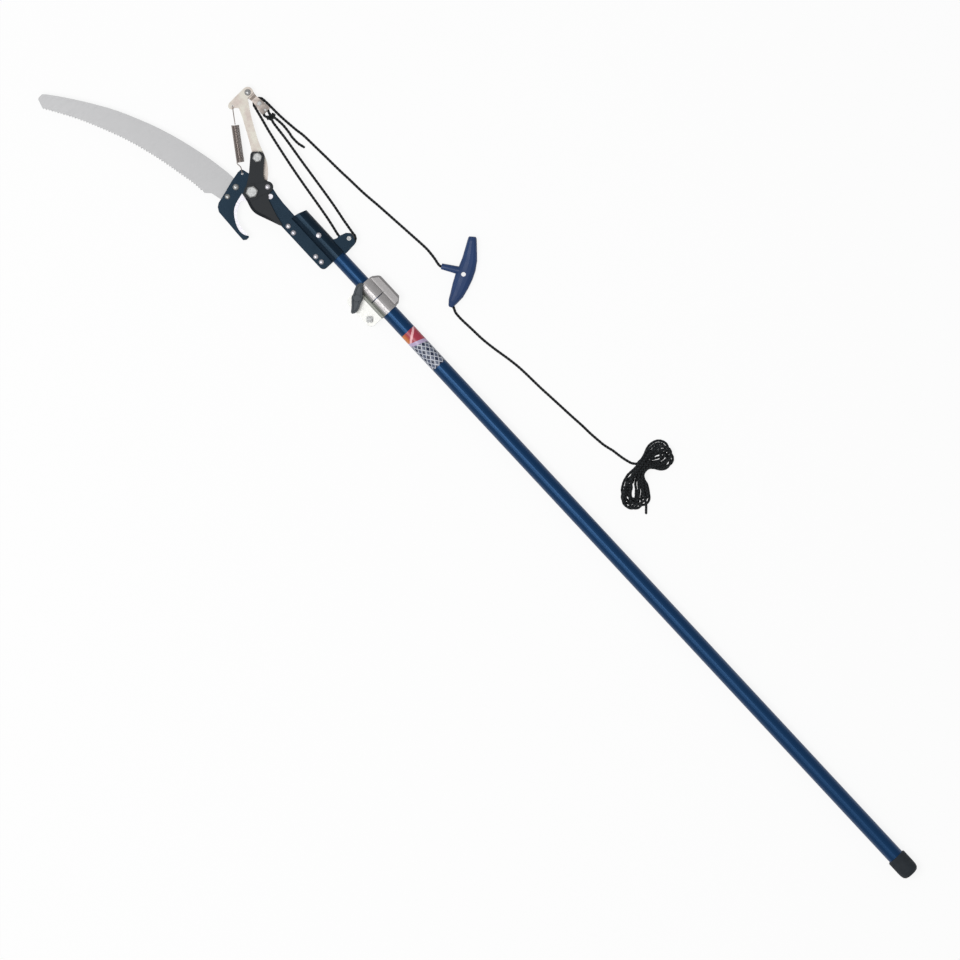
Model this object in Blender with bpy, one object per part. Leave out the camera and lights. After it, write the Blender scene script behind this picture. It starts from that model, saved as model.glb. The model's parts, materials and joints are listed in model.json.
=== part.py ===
"""Telescopic tree lopper: a two-stage tube pole with a clamp, a curved pruning saw,
a hook with a rope-driven cutting blade, a two-sheave tackle and a pull rope with a T-handle.

Sizes are in metres. The pole's axis is X = 0, Z = 0 while the pieces are made; Y runs from the
end cap at 0 to the head, and +Z is the side with the clamp's knob. The finished model is then
moved so that it lies on Z = 0 with its box centred on the origin.
"""
import math

import bmesh
import bpy
import numpy as np
from mathutils import Matrix, Vector

# General fits
GAP = 0.0003
BOLT_CLEARANCE = 0.0003
ROUND_SIDES = 32
FASTENER_SIDES = 12

# Pole
CAP_LENGTH = 0.0355
CAP_WALL = 0.0025
CAP_FLOOR = 0.006
OUTER_DIAMETER = 0.025
OUTER_WALL = 0.0012
TUBE_CLEARANCE = 0.0003
INNER_WALL = 0.0012
INNER_FOOT_Y = 0.056
BUSH_FLANGE = 0.0055
BUSH_SPIGOT = 0.018

# Clamp
CLAMP_FOOT_Y = 1.1512
CLAMP_LENGTH = 0.058
CLAMP_WALL = 0.0025
CLAMP_SLIT_HEIGHT = 0.0278
CLAMP_SLIT_WIDTH = 0.0014
CLAMP_SPLIT = 0.0024
CLAMP_SPINE_REACH = 0.012
CLAMP_SPINE_DEPTH = 0.014
CLAMP_EAR_REACH = 0.0230
CLAMP_EAR_INSET = 0.0058
CLAMP_BOLT_REACH = 0.0072
CLAMP_BOLT_Y = 1.1988
BASE_BOLT_REACH = 0.0152
BASE_BOLT_Y = 1.1632
BASE_NUT_FLATS = 0.0118
CLAMP_BOLT_DIAMETER = 0.006
KNOB_HEIGHT = 0.0145
KNOB_LENGTH = 0.0485
KNOB_WIDTH = 0.0145
KNOB_TURN = math.radians(25)
NUT_ACROSS_FLATS = 0.010
NUT_HEIGHT = 0.005

# Head plates
PIVOT_X = -0.0290
PIVOT_Y = 1.4232
PLATE_THICKNESS = 0.004
SHELL_THICKNESS = 0.0013
SHELL_FOOT_Y = 1.2638
SHELL_TOP_Y = 1.3535
SHELL_FLANGE_X = -0.0315
PIVOT_BOLT_DIAMETER = 0.008
PIVOT_ACROSS_FLATS = 0.0160
PIVOT_HEAD_HEIGHT = 0.0055
RIVET_DIAMETER = 0.005
RIVET_HEAD_DIAMETER = 0.0082
RIVET_HEAD_HEIGHT = 0.0022
TUBE_RIVET_Y = 1.3072
TUBE_RIVET_HEAD_HEIGHT = 0.0011
FLANGE_RIVETS = ((-0.0240, 1.3487), (-0.0250, 1.3362), (-0.0248, 1.2872), (-0.0240, 1.2757))

# Blade and lever
BLADE_THICKNESS = 0.0035
BLADE_BEVEL = 0.0045
LOCK_THICKNESS = 0.0014
LEVER_THICKNESS = 0.003
ARM_BOLT = (0.0412, 0.0325)
ARM_BOLT_DIAMETER = 0.006
ARM_ACROSS_FLATS = 0.0130
ARM_SLEEVE_DIAMETER = 0.012
LEVER_BOLT = (0.0972, 0.1143)
LEVER_BOLT_DIAMETER = 0.005
LOCK_SCREW = (0.0224, -0.0104)
LOCK_SCREW_DIAMETER = 0.004
SPRING_TAB_HOLE = (0.0665, 0.1150)
SPRING_HOOK_HOLE = (0.0080, 0.0303)
SPRING_HOLE_DIAMETER = 0.0032
NECK_RIVET = (0.0156, -0.0235)
NECK_RIVET_DIAMETER = 0.0074

# Saw
SAW_THICKNESS = 0.0015
SAW_TEETH = 60
SAW_TOOTH_DEPTH = 0.0022
SAW_BOLTS = ((-0.0127, 0.0222), (-0.0316, 0.0202))
SAW_BOLT_DIAMETER = 0.005

# Spring
SPRING_DIAMETER = 0.0122
SPRING_WIRE = 0.0015
SPRING_CURLS = 27
SPRING_BODY_LENGTH = 0.056
SPRING_POINTS_PER_CURL = 9
HOOK_RISE = 0.0021

# Tackle
ROPE_DIAMETER = 0.004
UPPER_PITCH_RADIUS = 0.0085
LOWER_PITCH_RADIUS = 0.0097
SHEAVE_WIDTH = 0.0072
SHEAVE_RIM = 0.0012
BECKET_PIN_DROP = 0.0131
BECKET_PIN_DIAMETER = 0.0024
KNOT = (0.0008, -0.0511)
UPPER_SHEAVE = (0.0985, 0.0900)
LOWER_SHEAVE = (0.0302, 1.2732)
EAR_THICKNESS = 0.002
EAR_REACH = 0.0062
CHEEK_THICKNESS = 0.0015
AXLE_DIAMETER = 0.004
ROPE_STEP = 0.012

# T-handle
HANDLE_THICKNESS = 0.016
HANDLE_STEM_MOUTH = (0.1036, 1.1486)
HANDLE_STEM_BASE = (0.1190, 1.1255)
HANDLE_STEM_MOUTH_DIAMETER = 0.0090
HANDLE_STEM_BASE_DIAMETER = 0.0124
HANDLE_HOLE = (0.1196, 1.1172)
HANDLE_HOLE_DIAMETER = 0.0070
HANDLE_ROPE_BORE = 0.0052
HANDLE_BORE_DEPTH = 0.009
HANDLE_TAIL_MOUTH = (0.0733, 1.0872)
HANDLE_TAIL_END = (0.0782, 1.0975)

# Hank
HANK_WAIST = (0.1222, 0.7240)
HANK_TURNS = 6.6
HANK_TURNS_PER_LAYER = 1.65
HANK_POINTS_PER_TURN = 24
HANK_STEP = 0.0059
HANK_RISE = 0.0047
HANK_LOBE = 0.0180
HANK_WAIST_WIDTH = 0.0079
HANK_WAIST_LENGTH = 0.017
HANK_SHRINK = 0.0010
HANK_TAIL = 0.008

# Diameters round the outer tube, and places beside them
INNER_DIAMETER = OUTER_DIAMETER - 2 * (OUTER_WALL + TUBE_CLEARANCE)
CAP_DIAMETER = OUTER_DIAMETER + 2 * CAP_WALL
CLAMP_BARREL_DIAMETER = OUTER_DIAMETER + 2 * CLAMP_WALL
CLAMP_EAR_DEPTH = CLAMP_BARREL_DIAMETER - 2 * CLAMP_EAR_INSET
CLAMP_SPINE_X = CLAMP_BARREL_DIAMETER / 2 + CLAMP_SPINE_REACH
CLAMP_EAR_X = -CLAMP_BARREL_DIAMETER / 2 - CLAMP_EAR_REACH
CLAMP_BOLT_X = -CLAMP_BARREL_DIAMETER / 2 - CLAMP_BOLT_REACH
BASE_BOLT_X = -CLAMP_BARREL_DIAMETER / 2 - BASE_BOLT_REACH
NECK_INNER_X = -INNER_DIAMETER / 2 - 2 * GAP

# Heights of the layers in the head
PLATE_TOP = PLATE_THICKNESS / 2
BLADE_BOTTOM = PLATE_TOP + GAP
BLADE_TOP = BLADE_BOTTOM + BLADE_THICKNESS
LOCK_BOTTOM = BLADE_TOP + GAP
LOCK_TOP = LOCK_BOTTOM + LOCK_THICKNESS
LEVER_TOP = -PLATE_TOP - GAP
LEVER_BOTTOM = LEVER_TOP - LEVER_THICKNESS
SAW_TOP = -PLATE_TOP - GAP
SAW_BOTTOM = SAW_TOP - SAW_THICKNESS
TACKLE_Z = (LEVER_TOP + LEVER_BOTTOM) / 2
FLOOR_Z = -CAP_DIAMETER / 2
ROPE_ON_FLOOR = FLOOR_Z + ROPE_DIAMETER / 2 + 0.0001
OUTER_BORE = OUTER_DIAMETER / 2 - OUTER_WALL
INNER_BORE = INNER_DIAMETER / 2 - INNER_WALL
SHELL_BORE = INNER_DIAMETER / 2 + GAP
SHELL_RADIUS = SHELL_BORE + SHELL_THICKNESS
CLAMP_SLIT_Y = CLAMP_FOOT_Y + CLAMP_SLIT_HEIGHT
OUTER_TOP_Y = CLAMP_SLIT_Y - CLAMP_SLIT_WIDTH / 2 - GAP
TUBE_HEAD_Y = SHELL_TOP_Y - 0.008


def from_pivot(point):
    """A point given from the main pivot, in the pole's frame."""
    return (PIVOT_X + point[0], PIVOT_Y + point[1])


def linear(value):
    """One sRGB channel, 0 to 255, as a linear value."""
    share = value / 255
    return share / 12.92 if share <= 0.04045 else ((share + 0.055) / 1.055) ** 2.4


def finish(name, colour, metallic, roughness):
    """A Principled material with one sRGB colour."""
    made = bpy.data.materials.new(name)
    made.use_nodes = True
    shader = made.node_tree.nodes["Principled BSDF"]
    shader.inputs["Base Color"].default_value = (*[linear(c) for c in colour], 1)
    shader.inputs["Metallic"].default_value = metallic
    shader.inputs["Roughness"].default_value = roughness
    return made


def clear_scene():
    """Empties the scene before the model is made."""
    for old in list(bpy.data.objects):
        bpy.data.objects.remove(old)


def group(name, x, y, z, parent):
    """An empty on a moving body's joint axis, which carries that body's pieces."""
    empty = bpy.data.objects.new(name, None)
    bpy.context.collection.objects.link(empty)
    empty.location = (x, y, z)
    if parent:
        empty.location = Vector((x, y, z)) - parent["at"]
        empty.parent = parent["empty"]
    return {"empty": empty, "at": Vector((x, y, z))}


def piece(name, mesh, material, body):
    """One sub-part: a bmesh in the pole's frame becomes an object on its body's empty."""
    bmesh.ops.recalc_face_normals(mesh, faces=mesh.faces)
    bmesh.ops.translate(mesh, vec=-body["at"], verts=mesh.verts)
    data = bpy.data.meshes.new(name)
    mesh.to_mesh(data)
    mesh.free()
    data.materials.append(material)
    data.shade_smooth()
    data.set_sharp_from_angle(angle=math.radians(35))
    made = bpy.data.objects.new(name, data)
    bpy.context.collection.objects.link(made)
    made.parent = body["empty"]
    return made


def cutter(name, mesh, body):
    """A guide solid that cuts or joins another piece and isn't part of the model."""
    made = piece(name, mesh, finish(name + "_guide", (128, 128, 128), 0, 0.5), body)
    made.hide_render = True
    made.display_type = "WIRE"
    return made


def boolean(target, operation, tool):
    """Leaves an exact Boolean on the target."""
    step = target.modifiers.new(operation.lower(), "BOOLEAN")
    step.operation = operation
    step.solver = "EXACT"
    step.object = tool


def soften(target, width, segments=1):
    """Leaves a small bevel on a plate's or casting's sharp edges."""
    step = target.modifiers.new("bevel", "BEVEL")
    step.width = width
    step.segments = segments
    step.limit_method = "ANGLE"
    step.angle_limit = math.radians(50)


def circle(x, y, radius, sides):
    """The points of a circle, anticlockwise."""
    turns = [2 * math.pi * i / sides for i in range(sides)]
    return [(x + radius * math.cos(a), y + radius * math.sin(a)) for a in turns]


def arc(x, y, radius, start, end, steps):
    """Points along an arc, with its angles in degrees."""
    angles = [math.radians(start + (end - start) * i / steps) for i in range(steps + 1)]
    return [(x + radius * math.cos(a), y + radius * math.sin(a)) for a in angles]


def plate(outline, bottom, top, holes=()):
    """A flat plate across Z from its outline, with round holes given as x, y and radius."""
    mesh = bmesh.new()
    loops = [outline] + [circle(x, y, radius, 16) for x, y, radius in holes]
    edges = []
    for loop in loops:
        corners = [mesh.verts.new((x, y, bottom)) for x, y in loop]
        edges += [mesh.edges.new((a, b)) for a, b in zip(corners, corners[1:] + corners[:1])]
    bmesh.ops.triangle_fill(mesh, use_beauty=True, use_dissolve=False, edges=edges)
    lower = list(mesh.faces)
    grown = bmesh.ops.extrude_face_region(mesh, geom=lower)
    raised = [v for v in grown["geom"] if isinstance(v, bmesh.types.BMVert)]
    bmesh.ops.translate(mesh, vec=(0, 0, top - bottom), verts=raised)
    bmesh.ops.recalc_face_normals(mesh, faces=mesh.faces)
    return mesh


def smooth_line(points, steps):
    """A smooth open curve through the points (Catmull-Rom), with steps points a span."""
    known = [Vector(p) for p in points]
    known = [2 * known[0] - known[1]] + known + [2 * known[-1] - known[-2]]
    line = []
    for i in range(1, len(known) - 2):
        a, b, c, d = known[i - 1:i + 3]
        for k in range(steps):
            t = k / steps
            line.append(0.5 * (2 * b + (c - a) * t + (2 * a - 5 * b + 4 * c - d) * t * t
                               + (3 * b - a - 3 * c + d) * t ** 3))
    line.append(known[-2])
    return [tuple(p) for p in line]


def spaced(points, step):
    """Points at an even step along a smooth curve through the given ones."""
    fine = np.array(smooth_line(points, 12))
    run = np.concatenate([[0], np.cumsum(np.linalg.norm(np.diff(fine, axis=0), axis=1))])
    count = max(2, round(run[-1] / step) + 1)
    marks = np.linspace(0, run[-1], count)
    return [tuple(np.interp(m, run, fine[:, k]) for k in range(3)) for m in marks]


def offset(line, distance):
    """An open line moved sideways, to its left for a positive distance."""
    pts = np.array(line)
    along = np.gradient(pts, axis=0)
    along /= np.linalg.norm(along, axis=1)[:, None]
    left = np.stack([-along[:, 1], along[:, 0]], axis=1)
    return [tuple(p) for p in pts + left * distance]


def ring_points(radius, sides, flats):
    """One ring of a turned piece; with flats it is a hexagon of that half width."""
    points = []
    for i in range(sides):
        a = 2 * math.pi * i / sides
        if flats:
            a6 = (a + math.pi / 6) % (math.pi / 3) - math.pi / 6
            points.append((radius / math.cos(a6) * math.cos(a), radius / math.cos(a6) * math.sin(a)))
        else:
            points.append((radius * math.cos(a), radius * math.sin(a)))
    return points


def turned(profile, sides, place):
    """A closed turned solid. The profile lists (radius, height) or (half width, height, "hex");
    it closes on the axis where it starts and ends at radius 0, or else joins its own ends."""
    mesh = bmesh.new()
    rings = []
    for entry in profile:
        radius, height = entry[0], entry[1]
        if radius == 0:
            rings.append([mesh.verts.new((0, 0, height))])
        else:
            flats = len(entry) > 2
            rings.append([mesh.verts.new((x, y, height)) for x, y in ring_points(radius, sides, flats)])
    pairs = list(zip(rings, rings[1:]))
    if len(rings[0]) > 1:
        pairs.append((rings[-1], rings[0]))
    for a, b in pairs:
        for i in range(sides):
            j = (i + 1) % sides
            corners = [a[0], b[i], b[j]] if len(a) == 1 else [a[i], a[j], b[0]]
            if len(a) > 1 and len(b) > 1:
                corners = [a[i], a[j], b[j], b[i]]
            mesh.faces.new(corners)
    bmesh.ops.transform(mesh, matrix=place, verts=mesh.verts)
    bmesh.ops.recalc_face_normals(mesh, faces=mesh.faces)
    return mesh


def upright(x, y):
    """Places a turned piece with its axis along Z through x, y."""
    return Matrix.Translation((x, y, 0))


def along_pole(x=0.0, z=0.0):
    """Places a turned piece with its axis along the pole."""
    return Matrix.Translation((x, 0, z)) @ Matrix.Rotation(-math.pi / 2, 4, "X")


def tube(length_from, length_to, outer, inner, sides=ROUND_SIDES):
    """A plain tube along the pole."""
    profile = [(outer, length_from), (outer, length_to), (inner, length_to), (inner, length_from)]
    return turned(profile, sides, along_pole())


def box(low, high):
    """A box between two corners."""
    mesh = bmesh.new()
    size = [h - l for l, h in zip(low, high)]
    middle = [(h + l) / 2 for l, h in zip(low, high)]
    bmesh.ops.create_cube(mesh, size=1)
    bmesh.ops.scale(mesh, vec=size, verts=mesh.verts)
    bmesh.ops.translate(mesh, vec=middle, verts=mesh.verts)
    return mesh


def cord(name, points, diameter, material, body, resolution=2):
    """A round cord: a curve through the points, with filled caps."""
    curve = bpy.data.curves.new(name, "CURVE")
    curve.dimensions = "3D"
    curve.bevel_depth = diameter / 2
    curve.bevel_resolution = resolution
    curve.use_fill_caps = True
    spline = curve.splines.new("POLY")
    spline.points.add(len(points) - 1)
    for spot, point in zip(spline.points, points):
        spot.co = (*(Vector(point) - body["at"]), 1)
    curve.materials.append(material)
    made = bpy.data.objects.new(name, curve)
    bpy.context.collection.objects.link(made)
    made.parent = body["empty"]
    return made


def domed(radius, top, height):
    """The profile of a low domed head that rises from top by height."""
    angles = [math.radians(a) for a in (0, 38, 66)]
    rows = [(radius * math.cos(a), top + height * math.sin(a)) for a in angles]
    return rows + [(0, top + height)]


def rivet(name, x, y, half_grip, head_height, material, body):
    """A rivet through the plates, with a low dome on each side."""
    shank = RIVET_DIAMETER / 2
    head = RIVET_HEAD_DIAMETER / 2
    seat = half_grip + GAP
    top = domed(head, seat, head_height)
    bottom = [(r, -h) for r, h in reversed(top)]
    profile = bottom + [(shank, -seat), (shank, seat)] + top
    return piece(name, turned(profile, FASTENER_SIDES, upright(x, y)), material, body)


def rope_positions():
    """The tackle's fixed points: upper sheave, knot and becket, in the pole's frame."""
    upper = from_pivot(UPPER_SHEAVE)
    hang = from_pivot(LEVER_BOLT)
    knot = (hang[0] + KNOT[0], hang[1] + KNOT[1])
    return upper, hang, knot


def make_pole(steel_blue, rubber, cast, zinc, black, root, knob):
    """Outer tube, end cap, clamp with its bolts and the wing knob."""
    outer = OUTER_DIAMETER / 2
    foot = CAP_FLOOR + GAP
    piece("outer_tube", tube(foot, OUTER_TOP_Y, outer, OUTER_BORE), steel_blue, root)

    rim = CAP_DIAMETER / 2
    fit = outer + GAP
    lip = (rim - fit) / 2
    profile = [(0, 0), (rim * 0.45, 0), (rim * 0.72, CAP_LENGTH * 0.034), (rim * 0.90, CAP_LENGTH * 0.113),
               (rim * 0.98, CAP_LENGTH * 0.24), (rim, CAP_LENGTH * 0.39), (rim, CAP_LENGTH - lip),
               (rim - lip, CAP_LENGTH), (fit, CAP_LENGTH), (fit, CAP_FLOOR), (0, CAP_FLOOR)]
    piece("end_cap", turned(profile, ROUND_SIDES, along_pole()), rubber, root)

    top = CLAMP_FOOT_Y + CLAMP_LENGTH
    barrel = turned([(0, CLAMP_FOOT_Y), (CLAMP_BARREL_DIAMETER / 2, CLAMP_FOOT_Y),
                     (CLAMP_BARREL_DIAMETER / 2, top), (0, top)], ROUND_SIDES, along_pole())
    collar = piece("clamp_collar", barrel, cast, root)
    spine_in = CLAMP_SPINE_X - 0.018
    spine = [(spine_in, CLAMP_FOOT_Y + 0.0006), (CLAMP_SPINE_X - 0.008, CLAMP_FOOT_Y + 0.0006),
             (CLAMP_SPINE_X, CLAMP_FOOT_Y + 0.008), (CLAMP_SPINE_X, top - 0.008),
             (CLAMP_SPINE_X - 0.010, top - 0.0006), (spine_in, top - 0.0006)]
    spine_half = CLAMP_SPINE_DEPTH / 2
    spine_solid = cutter("clamp_spine", plate(spine, -spine_half, spine_half), root)
    soften(spine_solid, 0.003, 2)
    ear_half = CLAMP_EAR_DEPTH / 2
    ears = [(-0.006, CLAMP_FOOT_Y + 0.0008)]
    ears += arc(CLAMP_EAR_X + 0.008, CLAMP_FOOT_Y + 0.0088, 0.008, 270, 180, 4)
    ears += arc(CLAMP_EAR_X + 0.008, top - 0.0088, 0.008, 180, 90, 4)
    ears += [(-0.006, top - 0.0008)]
    ears_solid = cutter("clamp_ears", plate(ears, -ear_half, ear_half), root)
    boolean(collar, "UNION", spine_solid)
    boolean(collar, "UNION", ears_solid)
    bore_low = turned([(0, CLAMP_FOOT_Y - 0.002), (outer + GAP, CLAMP_FOOT_Y - 0.002),
                       (outer + GAP, CLAMP_SLIT_Y), (INNER_DIAMETER / 2 + GAP, CLAMP_SLIT_Y),
                       (INNER_DIAMETER / 2 + GAP, top + 0.002), (0, top + 0.002)], ROUND_SIDES, along_pole())
    boolean(collar, "DIFFERENCE", cutter("clamp_bore", bore_low, root))
    split = box((CLAMP_EAR_X - 0.005, CLAMP_FOOT_Y - 0.002, -CLAMP_SPLIT / 2), (0, top + 0.002, CLAMP_SPLIT / 2))
    boolean(collar, "DIFFERENCE", cutter("clamp_split", split, root))
    slit = box((-CLAMP_BARREL_DIAMETER * 0.37, CLAMP_SLIT_Y - CLAMP_SLIT_WIDTH / 2, 0.002),
               (CLAMP_BARREL_DIAMETER / 2 - 0.0005, CLAMP_SLIT_Y + CLAMP_SLIT_WIDTH / 2, 0.03))
    boolean(collar, "DIFFERENCE", cutter("clamp_slit", slit, root))
    shank = CLAMP_BOLT_DIAMETER / 2
    for label, x, y in (("clamp_hole", CLAMP_BOLT_X, CLAMP_BOLT_Y), ("base_hole", BASE_BOLT_X, BASE_BOLT_Y)):
        hole = turned([(0, -0.03), (shank + BOLT_CLEARANCE, -0.03), (shank + BOLT_CLEARANCE, 0.03), (0, 0.03)],
                      FASTENER_SIDES, upright(x, y))
        boolean(collar, "DIFFERENCE", cutter(label, hole, root))

    head_top = -ear_half - GAP
    head = [(0, FLOOR_Z), (NUT_ACROSS_FLATS / 2, FLOOR_Z, "hex"), (NUT_ACROSS_FLATS / 2, head_top, "hex"),
            (shank, head_top)]
    knob_bottom = ear_half + GAP
    clamp_bolt = head + [(shank, knob_bottom + KNOB_HEIGHT - 0.004), (0, knob_bottom + KNOB_HEIGHT - 0.004)]
    piece("clamp_bolt", turned(clamp_bolt, FASTENER_SIDES, upright(CLAMP_BOLT_X, CLAMP_BOLT_Y)), zinc, root)
    base_end = knob_bottom + NUT_HEIGHT + 0.0015
    base_bolt = head + [(shank, base_end), (0, base_end)]
    piece("base_bolt", turned(base_bolt, FASTENER_SIDES, upright(BASE_BOLT_X, BASE_BOLT_Y)), zinc, root)
    nut_bore = shank + BOLT_CLEARANCE
    flats = BASE_NUT_FLATS / 2
    nut = [(nut_bore, knob_bottom), (flats, knob_bottom, "hex"), (flats, knob_bottom + NUT_HEIGHT * 0.85, "hex"),
           (flats * 0.9, knob_bottom + NUT_HEIGHT), (nut_bore, knob_bottom + NUT_HEIGHT)]
    piece("base_nut", turned(nut, FASTENER_SIDES, upright(BASE_BOLT_X, BASE_BOLT_Y)), zinc, root)

    reach = KNOB_LENGTH / 2
    half = KNOB_WIDTH / 2
    wings = [(-reach, -half * 0.55), (-reach * 0.55, -half), (0, -half * 1.05), (reach * 0.35, -half * 0.8),
             (reach * 0.95, -half * 0.3), (reach, half * 0.55), (reach * 0.55, half), (0, half * 1.05),
             (-reach * 0.35, half * 0.8), (-reach * 0.95, half * 0.3)]
    wing_low = CLAMP_BARREL_DIAMETER / 2 + 0.0008
    wing = plate(wings, wing_low, knob_bottom + KNOB_HEIGHT)
    bmesh.ops.transform(wing, matrix=upright(CLAMP_BOLT_X, CLAMP_BOLT_Y) @ Matrix.Rotation(KNOB_TURN, 4, "Z"),
                        verts=wing.verts)
    wing_knob = piece("wing_knob", wing, black, knob)
    soften(wing_knob, 0.0012, 1)
    hub = turned([(0, knob_bottom), (0.0085, knob_bottom), (0.0078, wing_low + 0.001),
                  (0.0074, knob_bottom + KNOB_HEIGHT + 0.0008), (0, knob_bottom + KNOB_HEIGHT + 0.0008)],
                 20, upright(CLAMP_BOLT_X, CLAMP_BOLT_Y))
    boolean(wing_knob, "UNION", cutter("knob_hub", hub, knob))
    thread = turned([(0, knob_bottom - 0.002), (nut_bore, knob_bottom - 0.002),
                     (nut_bore, knob_bottom + KNOB_HEIGHT - 0.0035), (0, knob_bottom + KNOB_HEIGHT - 0.0035)],
                    FASTENER_SIDES, upright(CLAMP_BOLT_X, CLAMP_BOLT_Y))
    boolean(wing_knob, "DIFFERENCE", cutter("knob_bore", thread, knob))


def make_inner_tube(steel_blue, nylon, head):
    """Sliding inner tube with the nylon bush that guides its foot inside the outer tube."""
    radius = INNER_DIAMETER / 2
    tube_mesh = tube(INNER_FOOT_Y, TUBE_HEAD_Y, radius, INNER_BORE)
    inner = piece("inner_tube", tube_mesh, steel_blue, head)
    shank = RIVET_DIAMETER / 2 + BOLT_CLEARANCE
    reach = INNER_DIAMETER
    hole = turned([(0, -reach), (shank, -reach), (shank, reach), (0, reach)], FASTENER_SIDES,
                  upright(0, TUBE_RIVET_Y))
    boolean(inner, "DIFFERENCE", cutter("tube_rivet_hole", hole, head))
    flange_end = INNER_FOOT_Y - GAP
    bush = [(INNER_BORE - GAP - 0.0025, flange_end - BUSH_FLANGE), (radius, flange_end - BUSH_FLANGE),
            (radius, flange_end), (INNER_BORE - GAP, flange_end), (INNER_BORE - GAP, flange_end + BUSH_SPIGOT),
            (INNER_BORE - GAP - 0.0025, flange_end + BUSH_SPIGOT)]
    piece("guide_bush", turned(bush, ROUND_SIDES, along_pole()), nylon, head)


def hook_throat():
    """The hook's painted inner edge, from the tip up to the pivot, seen from the pivot."""
    curve = [(-0.0484, -0.0448), (-0.0522, -0.0385), (-0.0532, -0.0300), (-0.0514, -0.0223),
             (-0.0473, -0.0133), (-0.0393, -0.0025), (-0.0291, 0.0040), (-0.0125, 0.0088)]
    return smooth_line(curve, 3)


def make_plates(blue, bright, head):
    """Hook plate with the neck, bare counter blade, and the two pressed socket shells."""
    throat = hook_throat()
    back = [(-0.0494, -0.0465), (-0.0545, -0.0468), (-0.0588, -0.0436), (-0.0585, -0.0280),
            (-0.0577, -0.0135), (-0.0572, 0.0020), (-0.0567, 0.0120), (-0.0530, 0.0185),
            (-0.0480, 0.0222), (-0.0305, 0.0270), (-0.0106, 0.0330), (0.0050, 0.0364)]
    nose = arc(0.0086, 0.0316, 0.0048, 110, 20, 4)
    neck = [(0.0160, 0.0225), (0.0215, 0.0085), (0.0262, -0.0040), (0.0272, -0.0150),
            (0.0245, -0.0300), (0.0232, -0.0450), (0.0228, -0.0690)]
    socket_x = NECK_INNER_X - PIVOT_X
    flange_x = SHELL_FLANGE_X - PIVOT_X
    foot_y = SHELL_FOOT_Y - PIVOT_Y
    socket = [(socket_x, -0.0712), (socket_x, foot_y)]
    heel = arc(flange_x + 0.007, foot_y + 0.007, 0.007, 270, 180, 4)
    shin = [(flange_x, -0.0640), (-0.0040, -0.0500), (-0.0070, -0.0330), (-0.0105, -0.0170), (-0.0125, -0.0030)]
    outline = back + nose + neck + socket + heel + shin + list(reversed(throat))
    holes = [(0, 0, PIVOT_BOLT_DIAMETER / 2 + BOLT_CLEARANCE)]
    holes += [(x, y, SAW_BOLT_DIAMETER / 2 + BOLT_CLEARANCE) for x, y in SAW_BOLTS]
    holes += [(*SPRING_HOOK_HOLE, SPRING_HOLE_DIAMETER / 2)]
    holes += [(*NECK_RIVET, NECK_RIVET_DIAMETER / 2 + BOLT_CLEARANCE)]
    shank = RIVET_DIAMETER / 2 + BOLT_CLEARANCE
    holes += [(x - PIVOT_X, y - PIVOT_Y, shank) for x, y in FLANGE_RIVETS]
    solid = plate(outline, -PLATE_TOP, PLATE_TOP, holes)
    bmesh.ops.translate(solid, vec=(PIVOT_X, PIVOT_Y, 0), verts=solid.verts)
    piece("hook_plate", solid, blue, head)

    seam = offset(throat, -GAP)
    edge = [(-0.0122, -0.0078), (-0.0208, 0.0018), (-0.0279, -0.0012), (-0.0359, -0.0060),
            (-0.0428, -0.0131), (-0.0458, -0.0203), (-0.0480, -0.0293), (-0.0482, -0.0400)]
    edge_line = smooth_line(edge[1:], 3)
    root_side = [(-0.0129, 0.0083), (-0.0129, -0.0030)]
    insert = plate(seam[:-1] + root_side + [edge[0]] + edge_line, -PLATE_TOP, PLATE_TOP)
    bmesh.ops.translate(insert, vec=(PIVOT_X, PIVOT_Y, 0), verts=insert.verts)
    piece("counter_blade", insert, bright, head)

    for side, label in ((1, "socket_front"), (-1, "socket_rear")):
        make_shell(label, side, blue, head)

    flush = NECK_RIVET_DIAMETER / 2
    sunk = [(0, -PLATE_TOP), (flush, -PLATE_TOP), (flush, PLATE_TOP), (0, PLATE_TOP)]
    x, y = from_pivot(NECK_RIVET)
    piece("neck_rivet", turned(sunk, FASTENER_SIDES, upright(x, y)), bright, head)
    grip = PLATE_TOP + GAP + SHELL_THICKNESS
    for number, (x, y) in enumerate(FLANGE_RIVETS, 1):
        rivet(f"flange_rivet_{number}", x, y, grip, RIVET_HEAD_HEIGHT, bright, head)
    rivet("tube_rivet", 0, TUBE_RIVET_Y, SHELL_RADIUS, TUBE_RIVET_HEAD_HEIGHT, bright, head)


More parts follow.
